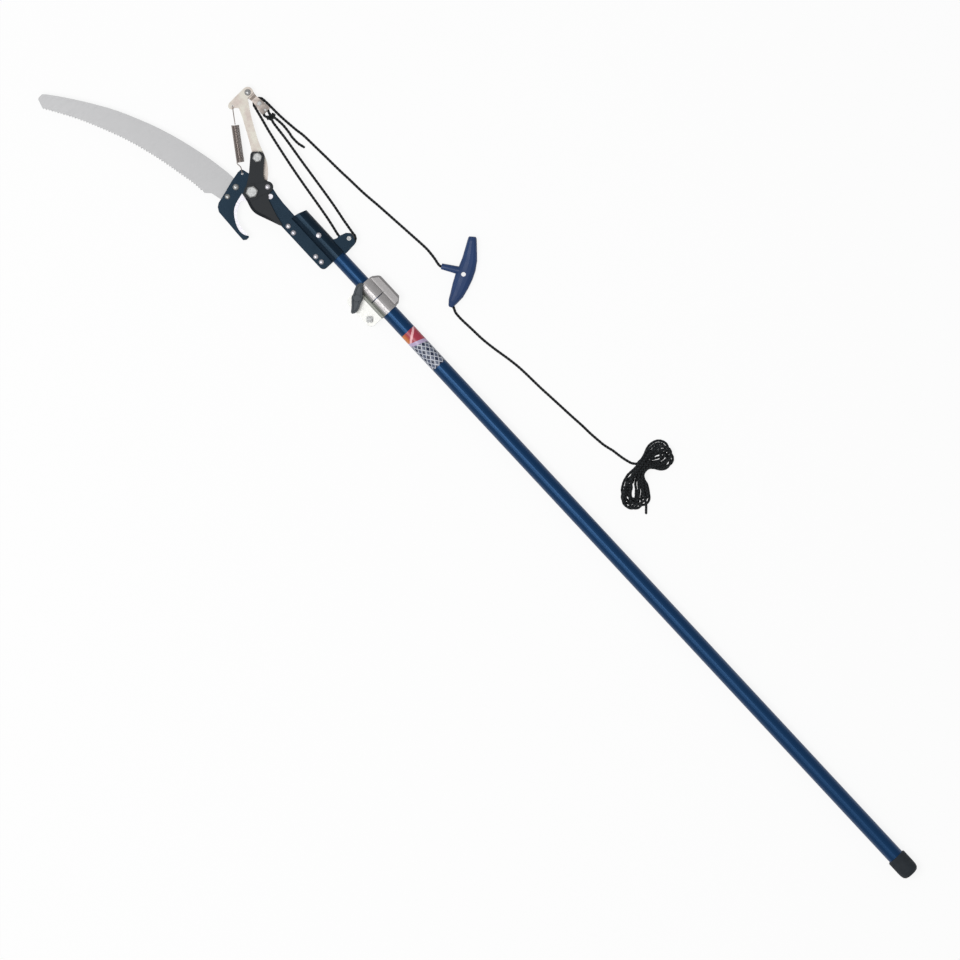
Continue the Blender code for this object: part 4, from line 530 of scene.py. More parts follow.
def round_bar(name, line, radii, material, around=12):
    """A round bar or rope along a line, with a map of metres along it and turns round it. The
    radii are one number, one for each point, or one for each point and step round it. The ends
    are domed by three rings, each a share of the radius wide and a share of it further out."""
    line = np.array(line, float)
    radii = np.array(radii, float)
    radii = np.broadcast_to(radii[:, None] if radii.ndim == 1 else radii, (len(line), around))
    ways, across, up = frames(line)
    run = run_of(line)
    dome = ((0.88, 0.45), (0.55, 0.80), (0.2, 0.95))
    rings = [(slice(0, 1), share, -out * radii[0].mean()) for share, out in reversed(dome)]
    rings.append((slice(None), 1, 0))
    rings += [(slice(-1, None), share, out * radii[-1].mean()) for share, out in dome]
    line, across, up, radii, run = [np.concatenate(part) for part in zip(*(
        (line[rows] + ways[rows] * out, across[rows], up[rows], radii[rows] * share, run[rows] + out)
        for rows, share, out in rings))]
    turns = np.arange(around) / around * 2 * math.pi
    rings = (line[:, None] + across[:, None] * (np.cos(turns)[None, :] * radii)[:, :, None]
             + up[:, None] * (np.sin(turns)[None, :] * radii)[:, :, None])
    vertices = [tuple(v) for v in (rings.reshape(-1, 3) + np.array(ORIGIN))]
    faces = []
    places = []
    for i in range(len(line) - 1):
        for k in range(around):
            j = (k + 1) % around
            faces.append((i * around + k, i * around + j, (i + 1) * around + j, (i + 1) * around + k))
            low, high = k / around, (k + 1) / around
            places += [(run[i], low), (run[i], high), (run[i + 1], high), (run[i + 1], low)]
    faces.append(tuple(reversed(range(around))))
    faces.append(tuple(range((len(line) - 1) * around, len(line) * around)))
    places += [(0, 0)] * (around * 2)
    data = bpy.data.meshes.new(name)
    data.from_pydata(vertices, [], faces)
    layer = data.uv_layers.new(name="lay")
    layer.data.foreach_set("uv", np.array(places, np.float32).ravel())
    return dressed(name, data, material, 60)


def dressed(name, data, material, crease=None):
    """An object of a mesh and one material, smooth but for edges sharper than the crease, which
    is in degrees."""
    data.materials.append(bpy.data.materials[material])
    data.shade_smooth()
    if crease:
        data.set_sharp_from_angle(angle=math.radians(crease))
    made = bpy.data.objects.new(name, data)
    bpy.context.collection.objects.link(made)
    return made


def solid(name, mesh, material, crease=None):
    """An object of a bmesh, which is used up, and one material."""
    data = bpy.data.meshes.new(name)
    mesh.to_mesh(data)
    mesh.free()
    return dressed(name, data, material, crease)


def sink(mesh, faces, rim, slope, depth):
    """Sinks faces to a depth inside a rim, down a slope. Rim and slope are widths in metres."""
    for width, drop in ((rim, 0.0), (slope, -depth)):
        bmesh.ops.inset_region(mesh, faces=faces, thickness=width, depth=drop, use_even_offset=True)


def arc(x, y, radius, start, end, steps):
    """Points on an arc, with its angles in degrees."""
    angles = np.radians(np.linspace(start, end, steps + 1))
    return np.stack([x + radius * np.cos(angles), y + radius * np.sin(angles)], axis=1)


def at_height(flat, z):
    """Flat points at one height."""
    return [(x, y, z) for x, y in flat]


def rope_piece(name, line, settings, radius=None):
    """A braided rope along a line. Its strands stand out where they cross, as in the material's
    map."""
    run = run_of(line)[:, None] * math.pi / settings.braid_pitch
    turn = np.arange(ROPE_SIDES)[None] / ROPE_SIDES * 2 * math.pi
    crowns = (np.abs(np.sin(run + turn)) * np.abs(np.sin(run - turn))) ** BRAID_SWELL
    skin = (radius or settings.diameter / 2) - settings.relief * (0.7 - crowns)
    return round_bar(name, line, skin, "braided_polyester", ROPE_SIDES)


def ramp(value, start, end):
    """0 before start, 1 after end, and eased between them."""
    share = np.clip((value - start) / (end - start), 0, 1)
    return share * share * (3 - 2 * share)


# The middle line of the hank, from the end of its low lobe to the end of its high lobe.
HANK_AXIS = ((0.0700, 0.6800), (0.0770, 0.6932), (0.0870, 0.7062), (0.1002, 0.7164), (0.1118, 0.7214),
             (0.1240, 0.7236), (0.1390, 0.7212), (0.1540, 0.7164), (0.1706, 0.7102))
# Where it is narrowest, the share by which it is drawn in there, and along how much of it.
HANK_WAIST = (0.1175, 0.7228)
WAIST_DRAWN = 0.62
WAIST_SPREAD = 0.019
# Each loop's half width, its shift to the left, and how far it stops short of the low and high ends.
HANK_LOOPS = ((0.0128, 0.0012, 0, 0.002), (0.0118, 0.0046, 0.005, 0), (0.0118, -0.0044, 0.002, 0.004),
              (0.0120, 0.0034, 0.001, 0.004), (0.0118, -0.0020, 0.006, 0.006),
              (0.0118, 0.0040, 0.002, 0.007), (0.0124, -0.0058, 0.003, 0), (0.0136, 0.0002, 0, 0.003))
LOOP_POINTS = 240
# The rope's way to the first loop, how much of that loop it leaves out, and the free end's length.
HANK_LEAD = ((0.1039, 0.7708), (0.1064, 0.7560), (0.1096, 0.7435), (0.1140, 0.7350))
HANK_LEAD_IN = 0.011
HANK_TAIL = 0.021
# How far each loop is wound over the one before, and the room that a rope takes up.
HANK_LAYER = 0.0046
ROPE_SPACE = 0.0042

# How the hank settles: the step between the rope's points, the rounds, how many of them at the
# end are still, and the points of the lead that are held.
SETTLE_STEP = 0.0022
SETTLE_ROUNDS = 440
STILL_ROUNDS = 100
HELD_POINTS = 18
# What a round sinks, and the share of its way back over its own place that a point goes.
SINKING = 0.0001
HOMING = 0.01
# The share of its way between its neighbours that a point goes, the share that a tight bend adds,
# and the radius at which that begins.
SOFTNESS = 0.12
STIFFNESS = 0.8
WIDE_BEND = 0.0120
# The share of a wrong length that is mended, then the radius that bends are kept to, the points
# that this is measured over, and its share.
LENGTH_SHARE = 0.2
TIGHT_BEND = 0.0095
BEND_SPAN = 4
BEND_SHARE = 0.35
# Half the waist's width, the length over which it widens, how far along it reaches, how near a
# point has to stand, along and aside, to be drawn in, and the share of its way in.
WAIST_HALF = 0.0068
WAIST_FLARE = 0.044
WAIST_REACH = 0.030
WAIST_NEAR = (0.001, 0.017)
WAIST_SHARE = 0.5
# Pairs of points that may touch are looked for once in so many rounds, up to so many times a
# rope's room and leaving out so many neighbours. They are pushed so often, and so hard.
PAIR_ROUNDS = 8
PAIR_REACH = 1.6
PAIR_NEIGHBOURS = 4
PUSHES = 5
PUSH_SHARE = 1.3


def hank_axis():
    """The hank's middle line, the distance and the direction along it, and where its waist is."""
    line = smooth([(x, y, 0) for x, y in HANK_AXIS], 24)
    run = run_of(line)
    way = np.gradient(line, axis=0)
    way /= np.linalg.norm(way, axis=1)[:, None]
    waist = run[np.argmin(np.linalg.norm(line[:, :2] - np.array(HANK_WAIST), axis=1))]
    return line, run, way, waist


def wound_loops(axis):
    """The rope as it is wound: loops from the waist out to the high end, back past the waist,
    round the low end and up again, each above the one before, with the lead and the tail."""
    line, run, slope, waist = axis
    turns = len(HANK_LOOPS)
    count = np.arange(turns * LOOP_POINTS + 1) / LOOP_POINTS
    loop = np.clip(np.floor(count).astype(int), 0, turns - 1)
    share = count - loop
    shift_over = ramp(share, 0.8, 1.0)
    table = np.array(HANK_LOOPS)
    after = table[np.clip(loop + 1, 0, turns - 1)]
    half, aside, low_end, high_end = (table[loop] + (after - table[loop]) * shift_over[:, None]).T
    low, high = low_end + half, run[-1] - high_end - half
    bend = math.pi * half
    gone = share * 2 * (high - low + bend)
    # A loop's five stages end at these marks: out, round the high end, back, round the low end.
    marks = np.stack([high - waist, high - waist + bend, 2 * high - waist - low + bend,
                      2 * high - waist - low + 2 * bend])
    stage = (gone[None] >= marks).sum(axis=0)
    turn_high, turn_low = (gone - marks[0]) / half, (gone - marks[2]) / half
    along = np.choose(stage, [waist + gone, high + half * np.sin(turn_high), high - (gone - marks[1]),
                              low - half * np.sin(turn_low), low + (gone - marks[3])])
    across = np.choose(stage, [half, half * np.cos(turn_high), -half, -half * np.cos(turn_low), half])
    across = (across + aside) * (1 - WAIST_DRAWN * np.exp(-((along - waist) / WAIST_SPREAD) ** 2))
    spot = [np.interp(along, run, line[:, i]) for i in (0, 1)]
    way = [np.interp(along, run, slope[:, i]) for i in (0, 1)]
    body = np.column_stack([spot[0] - way[1] * across, spot[1] + way[0] * across,
                            ROPE_LAY + (loop + shift_over) * HANK_LAYER])
    lead_in = (loop == 0) & (stage == 0) & (along < waist + HANK_LEAD_IN)
    body = body[~lead_in & ~((loop == turns - 1) & (stage > 2))]
    lead = [(x, y, ROPE_LAY) for x, y in HANK_LEAD]
    joined = smooth(lead + [tuple(body[0]), tuple(body[8])], 10)[:-10]
    out = body[-1] - body[-6]
    tail = body[-1] + out / np.linalg.norm(out) * (np.arange(1, 7) / 6 * HANK_TAIL)[:, None]
    return np.vstack([joined, body[1:], tail])


def straighten(spots):
    """Moves each point towards the middle of its neighbours, the more the tighter it bends."""
    sag = (spots[:-2] + spots[2:]) / 2 - spots[1:-1]
    bend = 2 * np.linalg.norm(sag, axis=1) / SETTLE_STEP ** 2
    spots[1:-1] += sag * (SOFTNESS + STIFFNESS * np.clip(bend * WIDE_BEND - 1, 0, 1))[:, None]


def keep_length(spots, rest):
    """Draws the points back to their distances at rest, and opens bends that are too tight."""
    steps = np.diff(spots, axis=0)
    size = np.linalg.norm(steps, axis=1)
    pull = steps * ((size - rest) / np.maximum(size, 1e-9))[:, None] * LENGTH_SHARE
    spots[:-1] += pull
    spots[1:] -= pull
    chord = 2 * TIGHT_BEND * math.sin(BEND_SPAN / 2 * SETTLE_STEP / TIGHT_BEND)
    spans = spots[BEND_SPAN:] - spots[:-BEND_SPAN]
    size = np.linalg.norm(spans, axis=1)
    push = spans / size[:, None] * (np.clip(chord - size, 0, None) * BEND_SHARE)[:, None]
    spots[BEND_SPAN:] += push
    spots[:-BEND_SPAN] -= push


def draw_in(spots, line, slope, off_waist):
    """Draws in the points that stand out too far beside the waist."""
    gaps = spots[:, None, :2] - line[None, :, :2]
    nearest = np.argmin((gaps ** 2).sum(axis=2), axis=1)
    off, way = spots[:, :2] - line[nearest, :2], slope[nearest]
    along = off[:, 0] * way[:, 0] + off[:, 1] * way[:, 1]
    aside = off[:, 1] * way[:, 0] - off[:, 0] * way[:, 1]
    limit = WAIST_HALF + off_waist[nearest] ** 2 / WAIST_FLARE
    beyond = np.clip(np.abs(aside) - limit, 0, None) * np.sign(aside) * WAIST_SHARE
    beyond *= (np.abs(along) < WAIST_NEAR[0]) & (np.abs(aside) < WAIST_NEAR[1])
    spots[:, 0] += way[:, 1] * beyond
    spots[:, 1] -= way[:, 0] * beyond


def push_apart(spots, first, second):
    """Pushes apart the pairs of points that take each other's room, and lifts what sank into
    the floor."""
    gaps = spots[second] - spots[first]
    size = np.linalg.norm(gaps, axis=1)
    hit = size < ROPE_SPACE
    move = gaps[hit] * ((ROPE_SPACE - size[hit]) / np.maximum(size[hit], 1e-6) * 0.5)[:, None]
    pushed = np.zeros_like(spots)
    hits = np.zeros(len(spots))
    for index, way_out in ((first[hit], -move), (second[hit], move)):
        np.add.at(pushed, index, way_out)
        np.add.at(hits, index, 1)
    spots += pushed / np.maximum(hits, 1)[:, None] * PUSH_SHARE
    spots[:, 2] = np.maximum(spots[:, 2], ROPE_LAY)


def settled(points, axis):
    """The loops let down on the floor: they sink, push each other aside, keep their length and
    bend no tighter than they may, and a pull at the waist holds them together there."""
    line, run, slope, waist = axis
    near_waist = np.abs(run - waist) < WAIST_REACH
    line, slope, off_waist = line[near_waist], slope[near_waist], run[near_waist] - waist
    spots = even(points, SETTLE_STEP)
    home = spots.copy()
    rest = np.linalg.norm(np.diff(spots, axis=0), axis=1)
    for turn in range(SETTLE_ROUNDS):
        if turn % PAIR_ROUNDS == 0:
            gaps = spots[:, None] - spots[None]
            close = np.einsum("ijk,ijk->ij", gaps, gaps) < (ROPE_SPACE * PAIR_REACH) ** 2
            first, second = np.nonzero(np.triu(close, PAIR_NEIGHBOURS))
        if turn < SETTLE_ROUNDS - STILL_ROUNDS:
            spots[:, 2] -= SINKING
            spots[:, :2] += (home[:, :2] - spots[:, :2]) * HOMING
        straighten(spots)
        keep_length(spots, rest)
        draw_in(spots, line, slope, off_waist)
        for _ in range(PUSHES):
            push_apart(spots, first, second)
        spots[:HELD_POINTS] = home[:HELD_POINTS]
    spots[1:-1] = spots[1:-1] * 0.5 + (spots[:-2] + spots[2:]) * 0.25
    return spots


def stem_point(distance):
    """A point on the T-handle's stem axis, out from its mouth."""
    return STEM_MOUTH + (STEM_MOUTH - STEM_BASE).normalized() * distance


class LopperPullRope(bpy.types.Operator):
    """Lays the pull rope from the upper sheave to the T-handle"""

    bl_idname = "lopper.pull_rope"
    bl_label = "Pull rope"

    def execute(self, context):
        settings = context.scene.lopper_rope
        over = at_height(arc(UPPER.x, UPPER.y, UPPER_RADIUS, 176, 6, 12), TACKLE_Z)
        # Off the sheave and down, along the floor, and up into the handle's stem.
        route = [(0.0787, 1.5060, TACKLE_Z), (0.0799, 1.4779, -0.0080)]
        route += at_height([(0.0832, 1.4483), (0.0857, 1.4333), (0.0874, 1.4034), (0.0883, 1.3871),
                            (0.0897, 1.3572), (0.0911, 1.3385), (0.0930, 1.3085), (0.0964, 1.2788),
                            (0.0995, 1.2469), (0.1024, 1.2170), (0.1051, 1.1871)], ROPE_LAY)
        route += [(0.1050, 1.1750, ROPE_LAY + 0.0012), (0.1040, 1.1640, ROPE_LAY + 0.0034),
                  (0.1025, 1.1560, HANDLE_MIDDLE - 0.0008), stem_point(0.0022), stem_point(-0.0020),
                  stem_point(-0.0087)]
        line = even(np.vstack([over, smooth(route, 10)]), ROPE_STEP)
        made = rope_piece("rope_to_handle", line, settings)
        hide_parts("pull_rope")
        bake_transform(made)
        return {"FINISHED"}


class LopperHank(bpy.types.Operator):
    """Lays the spare rope from the T-handle and winds it in its hank"""

    bl_idname = "lopper.hank"
    bl_label = "Spare rope and hank"

    def execute(self, context):
        settings = context.scene.lopper_rope
        outward = (TAIL_MOUTH - TAIL_END).normalized()
        axis = hank_axis()
        hank = smooth(settled(wound_loops(axis), axis), 3)
        # Out of the handle's grip and down, and along the floor to the hank.
        route = [TAIL_END + outward * CLEARANCE, TAIL_MOUTH, (0.0716, 1.0815, HANDLE_MIDDLE - 0.0028)]
        route += at_height([(0.0714, 1.0690), (0.0728, 1.0492), (0.0743, 1.0267), (0.0776, 1.0044),
                            (0.0834, 0.9742), (0.0863, 0.9518), (0.0885, 0.9139), (0.0904, 0.8914),
                            (0.0935, 0.8525), (0.0956, 0.8301), (0.0967, 0.8119), (0.0992, 0.7894),
                            (0.1014, 0.7795)], ROPE_LAY)
        route.append(tuple(hank[0]))
        line = even(np.vstack([smooth(route, 10)[:-1], hank]), ROPE_STEP)
        made = rope_piece("spare_rope", line, settings)
        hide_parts("pull_rope_tail", "rope_hank")
        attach(made, "handle")
        return {"FINISHED"}


class LopperTackle(bpy.types.Operator):
    """Reeves the tackle rope between the two sheaves and ties its knot"""

    bl_idname = "lopper.tackle"
    bl_label = "Tackle rope and knot"

    def execute(self, context):
        settings = context.scene.lopper_rope
        down = [(0.0664, 1.4816), (0.0650, 1.4752), (0.0624, 1.4470), (0.0574, 1.4079),
                (0.0534, 1.3737), (0.0482, 1.3308), (0.0430, 1.2980)]
        up = [(0.0222, 1.2900), (0.0280, 1.3216), (0.0368, 1.3867), (0.0430, 1.4261), (0.0507, 1.4678),
              (0.0568, 1.4946), (UPPER.x - UPPER_RADIUS - 0.0001, UPPER.y)]
        reach = UPPER.y - LOWER.y
        fall, rise = [smooth([(x, y, TACKLE_Z * (y - LOWER.y) / reach) for x, y in way], 8)
                      for way in (down, up)]
        bend = at_height(arc(LOWER.x, LOWER.y, LOWER_RADIUS, 8, -188, 16), 0)
        reeved = even(np.vstack([fall, bend, rise]), ROPE_STEP)
        strands = rope_piece("tackle_strands", reeved, settings)
        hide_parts("tackle_rope")
        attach(strands, "tackle")
        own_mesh(strands)

        # The becket's loop rises from the knot and runs over the pin.
        ring = PIN_RADIUS + CLEARANCE + settings.diameter / 2
        loop = [KNOT + Vector((-0.0028, 0.0030, 0)), (0.0634, 1.4922, TACKLE_Z),
                (0.0630, 1.4958, TACKLE_Z)]
        loop += at_height(arc(UPPER.x, UPPER.y - PIN_DROP, ring, 170, 10, 8), TACKLE_Z)
        loop += [(0.0718, 1.4962, TACKLE_Z), (0.0706, 1.4930, TACKLE_Z),
                 KNOT + Vector((0.0012, 0.0036, 0))]
        eye = rope_piece("becket_eye", even(smooth(loop, 6), ROPE_STEP), settings)
        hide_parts("becket_loop")

        # The knot has three turns side by side, slanting, with the rope's two ends tucked under.
        turns, steps = 3, 24
        wraps = [KNOT + Vector((-0.0058, 0.0012, -0.0012))]
        for k in range(turns * steps + 1):
            turn = 2 * math.pi * k / steps
            drift = 0.0048 * (k / (turns * steps) * 2 - 1)
            wraps.append(KNOT + Vector((drift, 0.0029 * math.cos(turn) - drift * 0.16,
                                        0.0027 * math.sin(turn))))
        wraps.append(KNOT + Vector((0.0058, -0.0012, 0.0008)))
        hitch = rope_piece("becket_hitch", even(wraps, ROPE_STEP), settings, 0.0018)
        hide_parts("becket_knot")

        # The free end drops to the floor within 45 mm.
        tail = [(0.0712, 1.4850), (0.0724, 1.4794), (0.0735, 1.4694), (0.0736, 1.4626),
                (0.0726, 1.4505), (0.0714, 1.4437), (0.0716, 1.4310), (0.0742, 1.4205)]
        drop = [(x, y, TACKLE_Z + (ROPE_LAY - TACKLE_Z) * min(1, (tail[0][1] - y) / 0.045))
                for x, y in tail]
        end = rope_piece("knot_free_end", even(smooth(drop, 8), ROPE_STEP), settings)
        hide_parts("knot_tail")
        for made in (eye, hitch, end):
            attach(made, "block")
        return {"FINISHED"}


class LopperSpring(bpy.types.Operator):
    """Winds the return spring with its hooks"""

    bl_idname = "lopper.spring"
    bl_label = "Return spring"

    def execute(self, context):
        axis = (SPRING_HIGH - SPRING_LOW).normalized()
        across = Vector((-axis.y, axis.x, 0))
        up = Vector((0, 0, 1))
        radius = (COIL_WIDTH - WIRE) / 2
        start = SPRING_LOW + axis * COIL_START
        pitch = COIL_LENGTH / CURLS
        coil = []
        for k in range(CURLS * CURL_POINTS + 1):
            a = 2 * math.pi * k / CURL_POINTS
            centre = start + axis * (pitch * k / CURL_POINTS)
            coil.append(centre + across * (radius * math.cos(a)) + up * (radius * math.sin(a)))

        # The lower hook comes up through the hook plate's hole and bends over to the first curl.
        reach = PLATE_HALF + 0.0022
        eye = [SPRING_LOW - up * reach - axis * 0.0004, SPRING_LOW - up * (reach * 0.4),
               SPRING_LOW + up * (reach * 0.5), SPRING_LOW + up * reach + axis * 0.0008,
               SPRING_LOW + up * (reach - 0.0006) + axis * 0.0045,
               SPRING_LOW + axis * 0.0105 + up * 0.0012 + across * (WIRE * 0.62),
               start - axis * 0.0022 + across * radius * 0.9, coil[0]]
        line = np.vstack([smooth(eye, 6), np.array(coil[1:])])
        made = round_bar("return_coil", line, WIRE / 2, "drawn_spring_wire", 8)
        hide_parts("return_spring")
        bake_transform(made)

        # The upper hook's shank lies over the lever, and its end stands in the lever's hole.
        pull = (SPRING_HOLE - WIRE) / 2 - CLEARANCE
        tab = Vector((SPRING_HIGH.x, SPRING_HIGH.y, LEVER_MIDDLE)) - axis * pull
        end = start + axis * (COIL_LENGTH + WIRE + 0.0012)
        rise = LEVER_HALF + HOOK_RISE
        shank = [tab + up * rise + axis * (WIRE / 2), tab + up * rise - axis * 0.0055,
                 end + axis * 0.0070 + up * 0.0008, end + axis * 0.0030, end - axis * 0.0010]
        hook = round_bar("spring_shank", smooth(shank, 8), WIRE / 2, "drawn_spring_wire", 10)
        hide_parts("spring_hook")
        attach(hook, "spring_upper")
        top = rise - WIRE / 2 - CLEARANCE
        foot = rise - WIRE
        tip = round_bar("spring_hook_end", [tab - up * foot, tab, tab + up * top], WIRE / 2,
                        "drawn_spring_wire", 12)
        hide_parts("hook_end")
        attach(tip, "lever")
        return {"FINISHED"}


PAINTED = {
    "gloss_enamel_tube": ("outer_tube", "inner_tube"),
    "satin_enamel_plate": ("hook_plate", "socket_front", "socket_rear"),
    "baked_coating_blade": ("cutting_blade", "lock_plate"),
    "zinc_plate_lever": ("lever_arm",),
    "zinc_plate_block": ("cheek_front", "cheek_rear"),
    "die_cast_aluminium": ("clamp_collar",),
    "moulded_filled_nylon": ("wing_knob",),
    "moulded_black_nylon": ("upper_sheave", "lower_sheave"),
    "turned_natural_nylon": ("guide_bush",),
    "moulded_polypropylene": ("t_handle",),
    "moulded_rubber": ("end_cap",),
    "ground_saw_steel": ("saw_blade",),
    "nickel_plated_steel": (
        "counter_blade", "tube_rivet", "neck_rivet", "flange_rivet_1", "flange_rivet_2",
        "flange_rivet_3", "flange_rivet_4", "lock_screw"),
    "zinc_plated_fastener": (
        "clamp_bolt", "base_bolt", "base_nut", "lower_axle", "saw_bolt_1", "saw_bolt_2", "saw_nut_1",
        "saw_nut_2", "arm_bolt", "arm_sleeve", "arm_nut", "pivot_bolt", "pivot_nut", "hanger_bolt",
        "hanger_nut", "upper_axle", "becket_pin"),
}


class LopperFinishes(bpy.types.Operator):
    """Makes the materials and gives each rigid piece its own"""

    bl_idname = "lopper.finishes"
    bl_label = "Finishes"

    def execute(self, context):
        paint = context.scene.lopper_paint
        for make in (tube_enamel, plate_enamel, blade_coating, cast_aluminium, filled_nylon,
                     black_nylon, handle_plastic, moulded_rubber, saw_steel):
            make(paint)
        for make in (natural_nylon, bright_steel, zinc_steel, spring_steel):
            make()
        lever_plating("zinc_plate_lever", paint.lever, paint.lever_bright)
        lever_plating("zinc_plate_block", paint.block, paint.lever)
        braided_rope(context.scene.lopper_rope)
        printed_band(context.scene.lopper_band)
        for material, names in PAINTED.items():
            for name in names:
                for place in frame["nodes"][name].material_slots:
                    place.material = bpy.data.materials[material]
        return {"FINISHED"}


class LopperKnob(bpy.types.Operator):
    """Shapes the wing knob: a hub and two wings that sweep round opposite ways"""

    bl_idname = "lopper.knob"
    bl_label = "Wing knob"

    def execute(self, context):
        # Half of the wings' outline, in millimetres from the bolt. The other half is turned round.
        half = ((-22.2, -10.2), (-19.2, -14.0), (-12.5, -14.8), (-6.0, -12.0), (-1.0, -8.9),
                (3.3, -6.9), (7.8, -3.9), (13.8, 3.0))
        outline = [(way * x / 1000, way * y / 1000) for way in (1, -1) for x, y in half]
        foot, tall = 0.0158, 0.0082
        middle = ORIGIN + KNOB
        mesh = bmesh.new()
        wings = mesh.faces.new([mesh.verts.new(middle + Vector((x, y, foot))) for x, y in outline])
        for corner in bmesh.ops.extrude_face_region(mesh, geom=[wings])["geom"]:
            if isinstance(corner, bmesh.types.BMVert):
                corner.co.z += tall
        bmesh.ops.recalc_face_normals(mesh, faces=mesh.faces)
        bmesh.ops.bevel(mesh, geom=list(mesh.edges), offset=0.0013, segments=3, affect="EDGES",
                        clamp_overlap=True)
        top = [face for face in mesh.faces if face.normal.z > 0.9 and len(face.verts) > 8]
        sink(mesh, top, 0.0012, 0.0008, 0.0011)
        # The hub under the wings and the boss on them: sides, two radii, height and middle.
        for sides, below, above, deep, level in (
                (40, 0.0078, 0.0085, 0.0070, 0.0130), (32, 0.0058, 0.0050, 0.0030, 0.0230)):
            cone = bmesh.ops.create_cone(mesh, cap_ends=True, segments=sides, radius1=below,
                                         radius2=above, depth=deep)
            bmesh.ops.translate(mesh, verts=cone["verts"], vec=middle + Vector((0, 0, level)))
        made = solid("wing_grip", mesh, "moulded_filled_nylon", 38)
        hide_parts("wing_knob")
        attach(made, "knob")
        return {"FINISHED"}


class LopperNut(bpy.types.Operator):
    """Forges the square nut on the clamp's base bolt"""

    bl_idname = "lopper.nut"
    bl_label = "Square nut"

    def execute(self, context):
        low, high = (Vector(corner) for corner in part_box("base_nut"))
        corner_radius = 0.0066
        mesh = bmesh.new()
        bmesh.ops.create_cone(mesh, cap_ends=True, segments=4, radius1=corner_radius,
                              radius2=corner_radius, depth=high.z - low.z)
        bmesh.ops.bevel(mesh, geom=list(mesh.edges), offset=0.0009, segments=2, affect="EDGES",
                        clamp_overlap=True)
        top = [face for face in mesh.faces if face.normal.z > 0.99 and face.calc_area() > 2e-5]
        sink(mesh, top, 0.0011, 0.0006, 0.0007)
        bmesh.ops.translate(mesh, verts=mesh.verts, vec=(low + high) / 2)
        made = solid("square_nut", mesh, "zinc_plated_fastener", 38)
        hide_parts("base_nut")
        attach(made, "pole")
        return {"FINISHED"}


class LopperBand(bpy.types.Operator):
    """Wraps the printed band round the outer tube"""

    bl_idname = "lopper.band"
    bl_label = "Printed band"

    def execute(self, context):
        band = context.scene.lopper_band
        radius = TUBE_RADIUS + FILM
        mesh = bmesh.new()
        layer = mesh.loops.layers.uv.new("lay")
        rings = []
        for y in (band.start, band.end):
            ring = []
            for k in range(BAND_SIDES):
                turn = 2 * math.pi * k / BAND_SIDES
                spot = Vector((radius * math.cos(turn), y, radius * math.sin(turn)))
                ring.append(mesh.verts.new(ORIGIN + spot))
            rings.append(ring)
        for k in range(BAND_SIDES):
            j = (k + 1) % BAND_SIDES
            face = mesh.faces.new((rings[0][k], rings[1][k], rings[1][j], rings[0][j]))
            # The map has metres along the band, and metres across it from its top.
            for corner, (far, step) in zip(face.loops, ((0, k), (1, k), (1, k + 1), (0, k + 1))):
                across = (0.25 - step / BAND_SIDES) * 2 * math.pi * radius
                corner[layer].uv = (far * (band.end - band.start), across)
        bmesh.ops.recalc_face_normals(mesh, faces=mesh.faces)
        made = solid("printed_band", mesh, "printed_vinyl_film")
        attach(made, "pole")
        return {"FINISHED"}


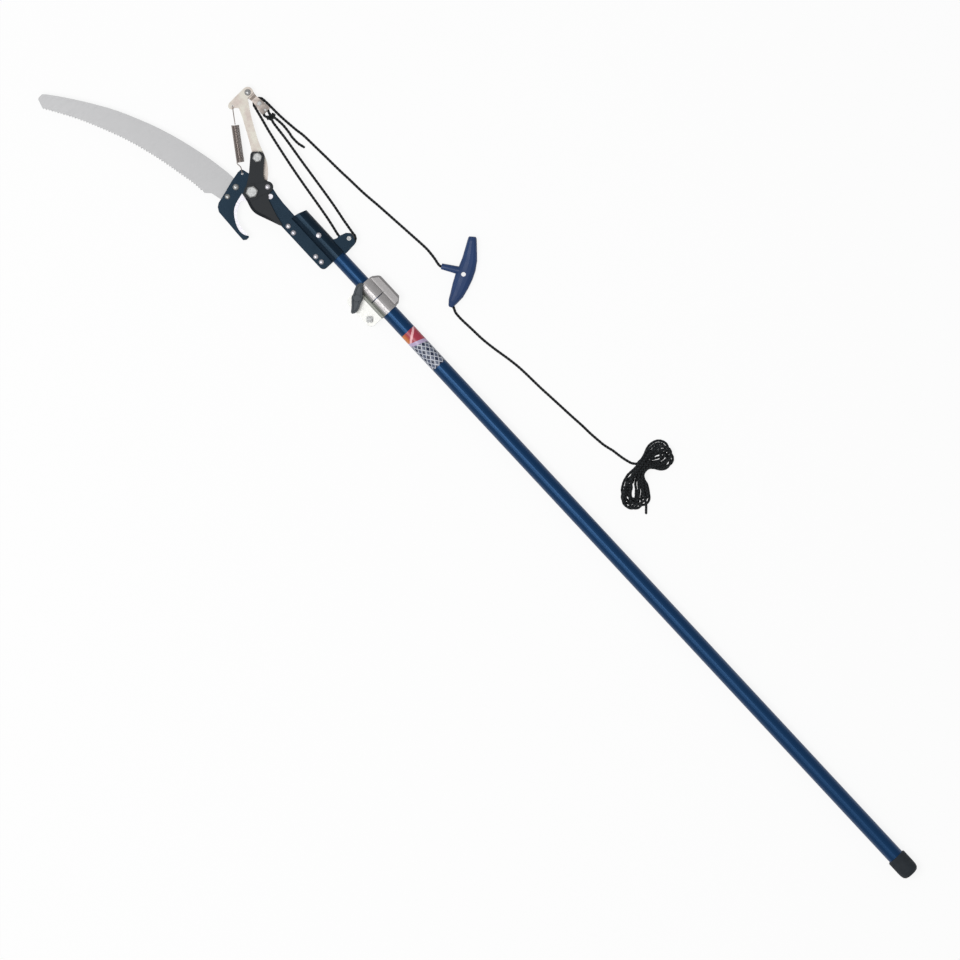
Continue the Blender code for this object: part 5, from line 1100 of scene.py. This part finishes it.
class LopperStage(bpy.types.Operator):
    """Lays the floor and sets the lamps, the world and the camera"""

    bl_idname = "lopper.stage"
    bl_label = "Stage"

    def execute(self, context):
        stage = context.scene.lopper_stage
        # Matt paper: it shows plain white to the camera, and in metal, but for the shadow on it.
        tree, shader = finish(
            "matt_paper", Roughness=0.9, Specular_IOR_Level=0.1, Base_Color=stage.floor)
        path = add(tree, "ShaderNodeLightPath")
        seen = path.outputs["Is Camera Ray"]
        for ray in ("Is Glossy Ray", "Is Transmission Ray"):
            seen = add(tree, "ShaderNodeMath", {0: seen, 1: path.outputs[ray]}, operation="MAXIMUM")
        share = add(tree, "ShaderNodeMath", {0: seen, 1: FLOOR_GLOW}, operation="MULTIPLY")
        glow = add(tree, "ShaderNodeEmission", {"Strength": 1.0})
        both = add(tree, "ShaderNodeMixShader", {0: share, 1: shader, 2: glow})
        put(tree.nodes["Material Output"], {"Surface": both})
        mesh = bmesh.new()
        bmesh.ops.create_grid(mesh, x_segments=1, y_segments=1, size=FLOOR_HALF)
        floor = solid("studio_floor", mesh, "matt_paper")

        sky = bpy.data.worlds.new("studio_sky")
        sky.use_nodes = True
        tree = sky.node_tree
        tree.nodes.clear()
        soft = add(tree, "ShaderNodeBackground", {"Color": (1, 1, 1), "Strength": stage.sky})
        add(tree, "ShaderNodeOutputWorld", {"Surface": soft})
        context.scene.world = sky

        light = bpy.data.lights.new("key_softbox", "AREA")
        light.energy = stage.lamp
        light.shape = "RECTANGLE"
        light.size = stage.lamp_width
        light.size_y = stage.lamp_length
        lamp = bpy.data.objects.new("key_softbox", light)
        lamp.location = ORIGIN + Vector((
            -stage.reach * math.sin(stage.lean), stage.lamp_middle, stage.reach * math.cos(stage.lean)))
        lamp.rotation_euler = (0, -stage.lean, 0)
        lamp.visible_camera = False
        context.collection.objects.link(lamp)

        camera = bpy.data.objects.new("camera", bpy.data.cameras.new("camera"))
        context.collection.objects.link(camera)
        camera.location = ORIGIN + CAMERA_PLACE + Vector((0, 0, stage.distance))
        camera.rotation_euler = (0, 0, math.radians(CAMERA_TURN))
        camera.data.lens = camera.data.sensor_width * stage.distance / stage.view
        camera.data.clip_end = 100
        context.scene.camera = camera
        context.scene.view_settings.view_transform = "Standard"
        return {"FINISHED"}


class LopperPanel(bpy.types.Panel):
    """Lists the lopper's settings and its steps"""

    bl_idname = "LOPPER_PT_steps"
    bl_label = "Tree lopper"
    bl_space_type = "VIEW_3D"
    bl_region_type = "UI"
    bl_category = "Lopper"

    def draw(self, context):
        for step in STEPS:
            self.layout.operator(step.bl_idname)
        for name, kind in GROUPS.items():
            box = self.layout.box()
            for setting in kind.__annotations__:
                box.prop(getattr(context.scene, name), setting)


GROUPS = {
    "lopper_rope": LopperRopeSettings,
    "lopper_paint": LopperPaintSettings,
    "lopper_band": LopperBandSettings,
    "lopper_stage": LopperStageSettings,
}
STEPS = (LopperStage, LopperFinishes, LopperPullRope, LopperHank, LopperTackle, LopperSpring,
         LopperKnob, LopperNut, LopperBand)


def register():
    """Registers the settings, the steps and the panel."""
    for name, group in GROUPS.items():
        bpy.utils.register_class(group)
        setattr(bpy.types.Scene, name, bpy.props.PointerProperty(type=group))
    for kind in (*STEPS, LopperPanel):
        bpy.utils.register_class(kind)


def unregister():
    """Takes them away again."""
    for kind in reversed((*STEPS, LopperPanel)):
        bpy.utils.unregister_class(kind)
    for name, group in GROUPS.items():
        delattr(bpy.types.Scene, name)
        bpy.utils.unregister_class(group)


def main():
    """Registers the add-on and takes its steps in order."""
    register()
    bpy.ops.lopper.stage()
    bpy.ops.lopper.finishes()
    bpy.ops.lopper.pull_rope()
    bpy.ops.lopper.hank()
    bpy.ops.lopper.tackle()
    bpy.ops.lopper.spring()
    bpy.ops.lopper.knob()
    bpy.ops.lopper.nut()
    bpy.ops.lopper.band()
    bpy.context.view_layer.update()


if __name__ == "__main__":
    main()
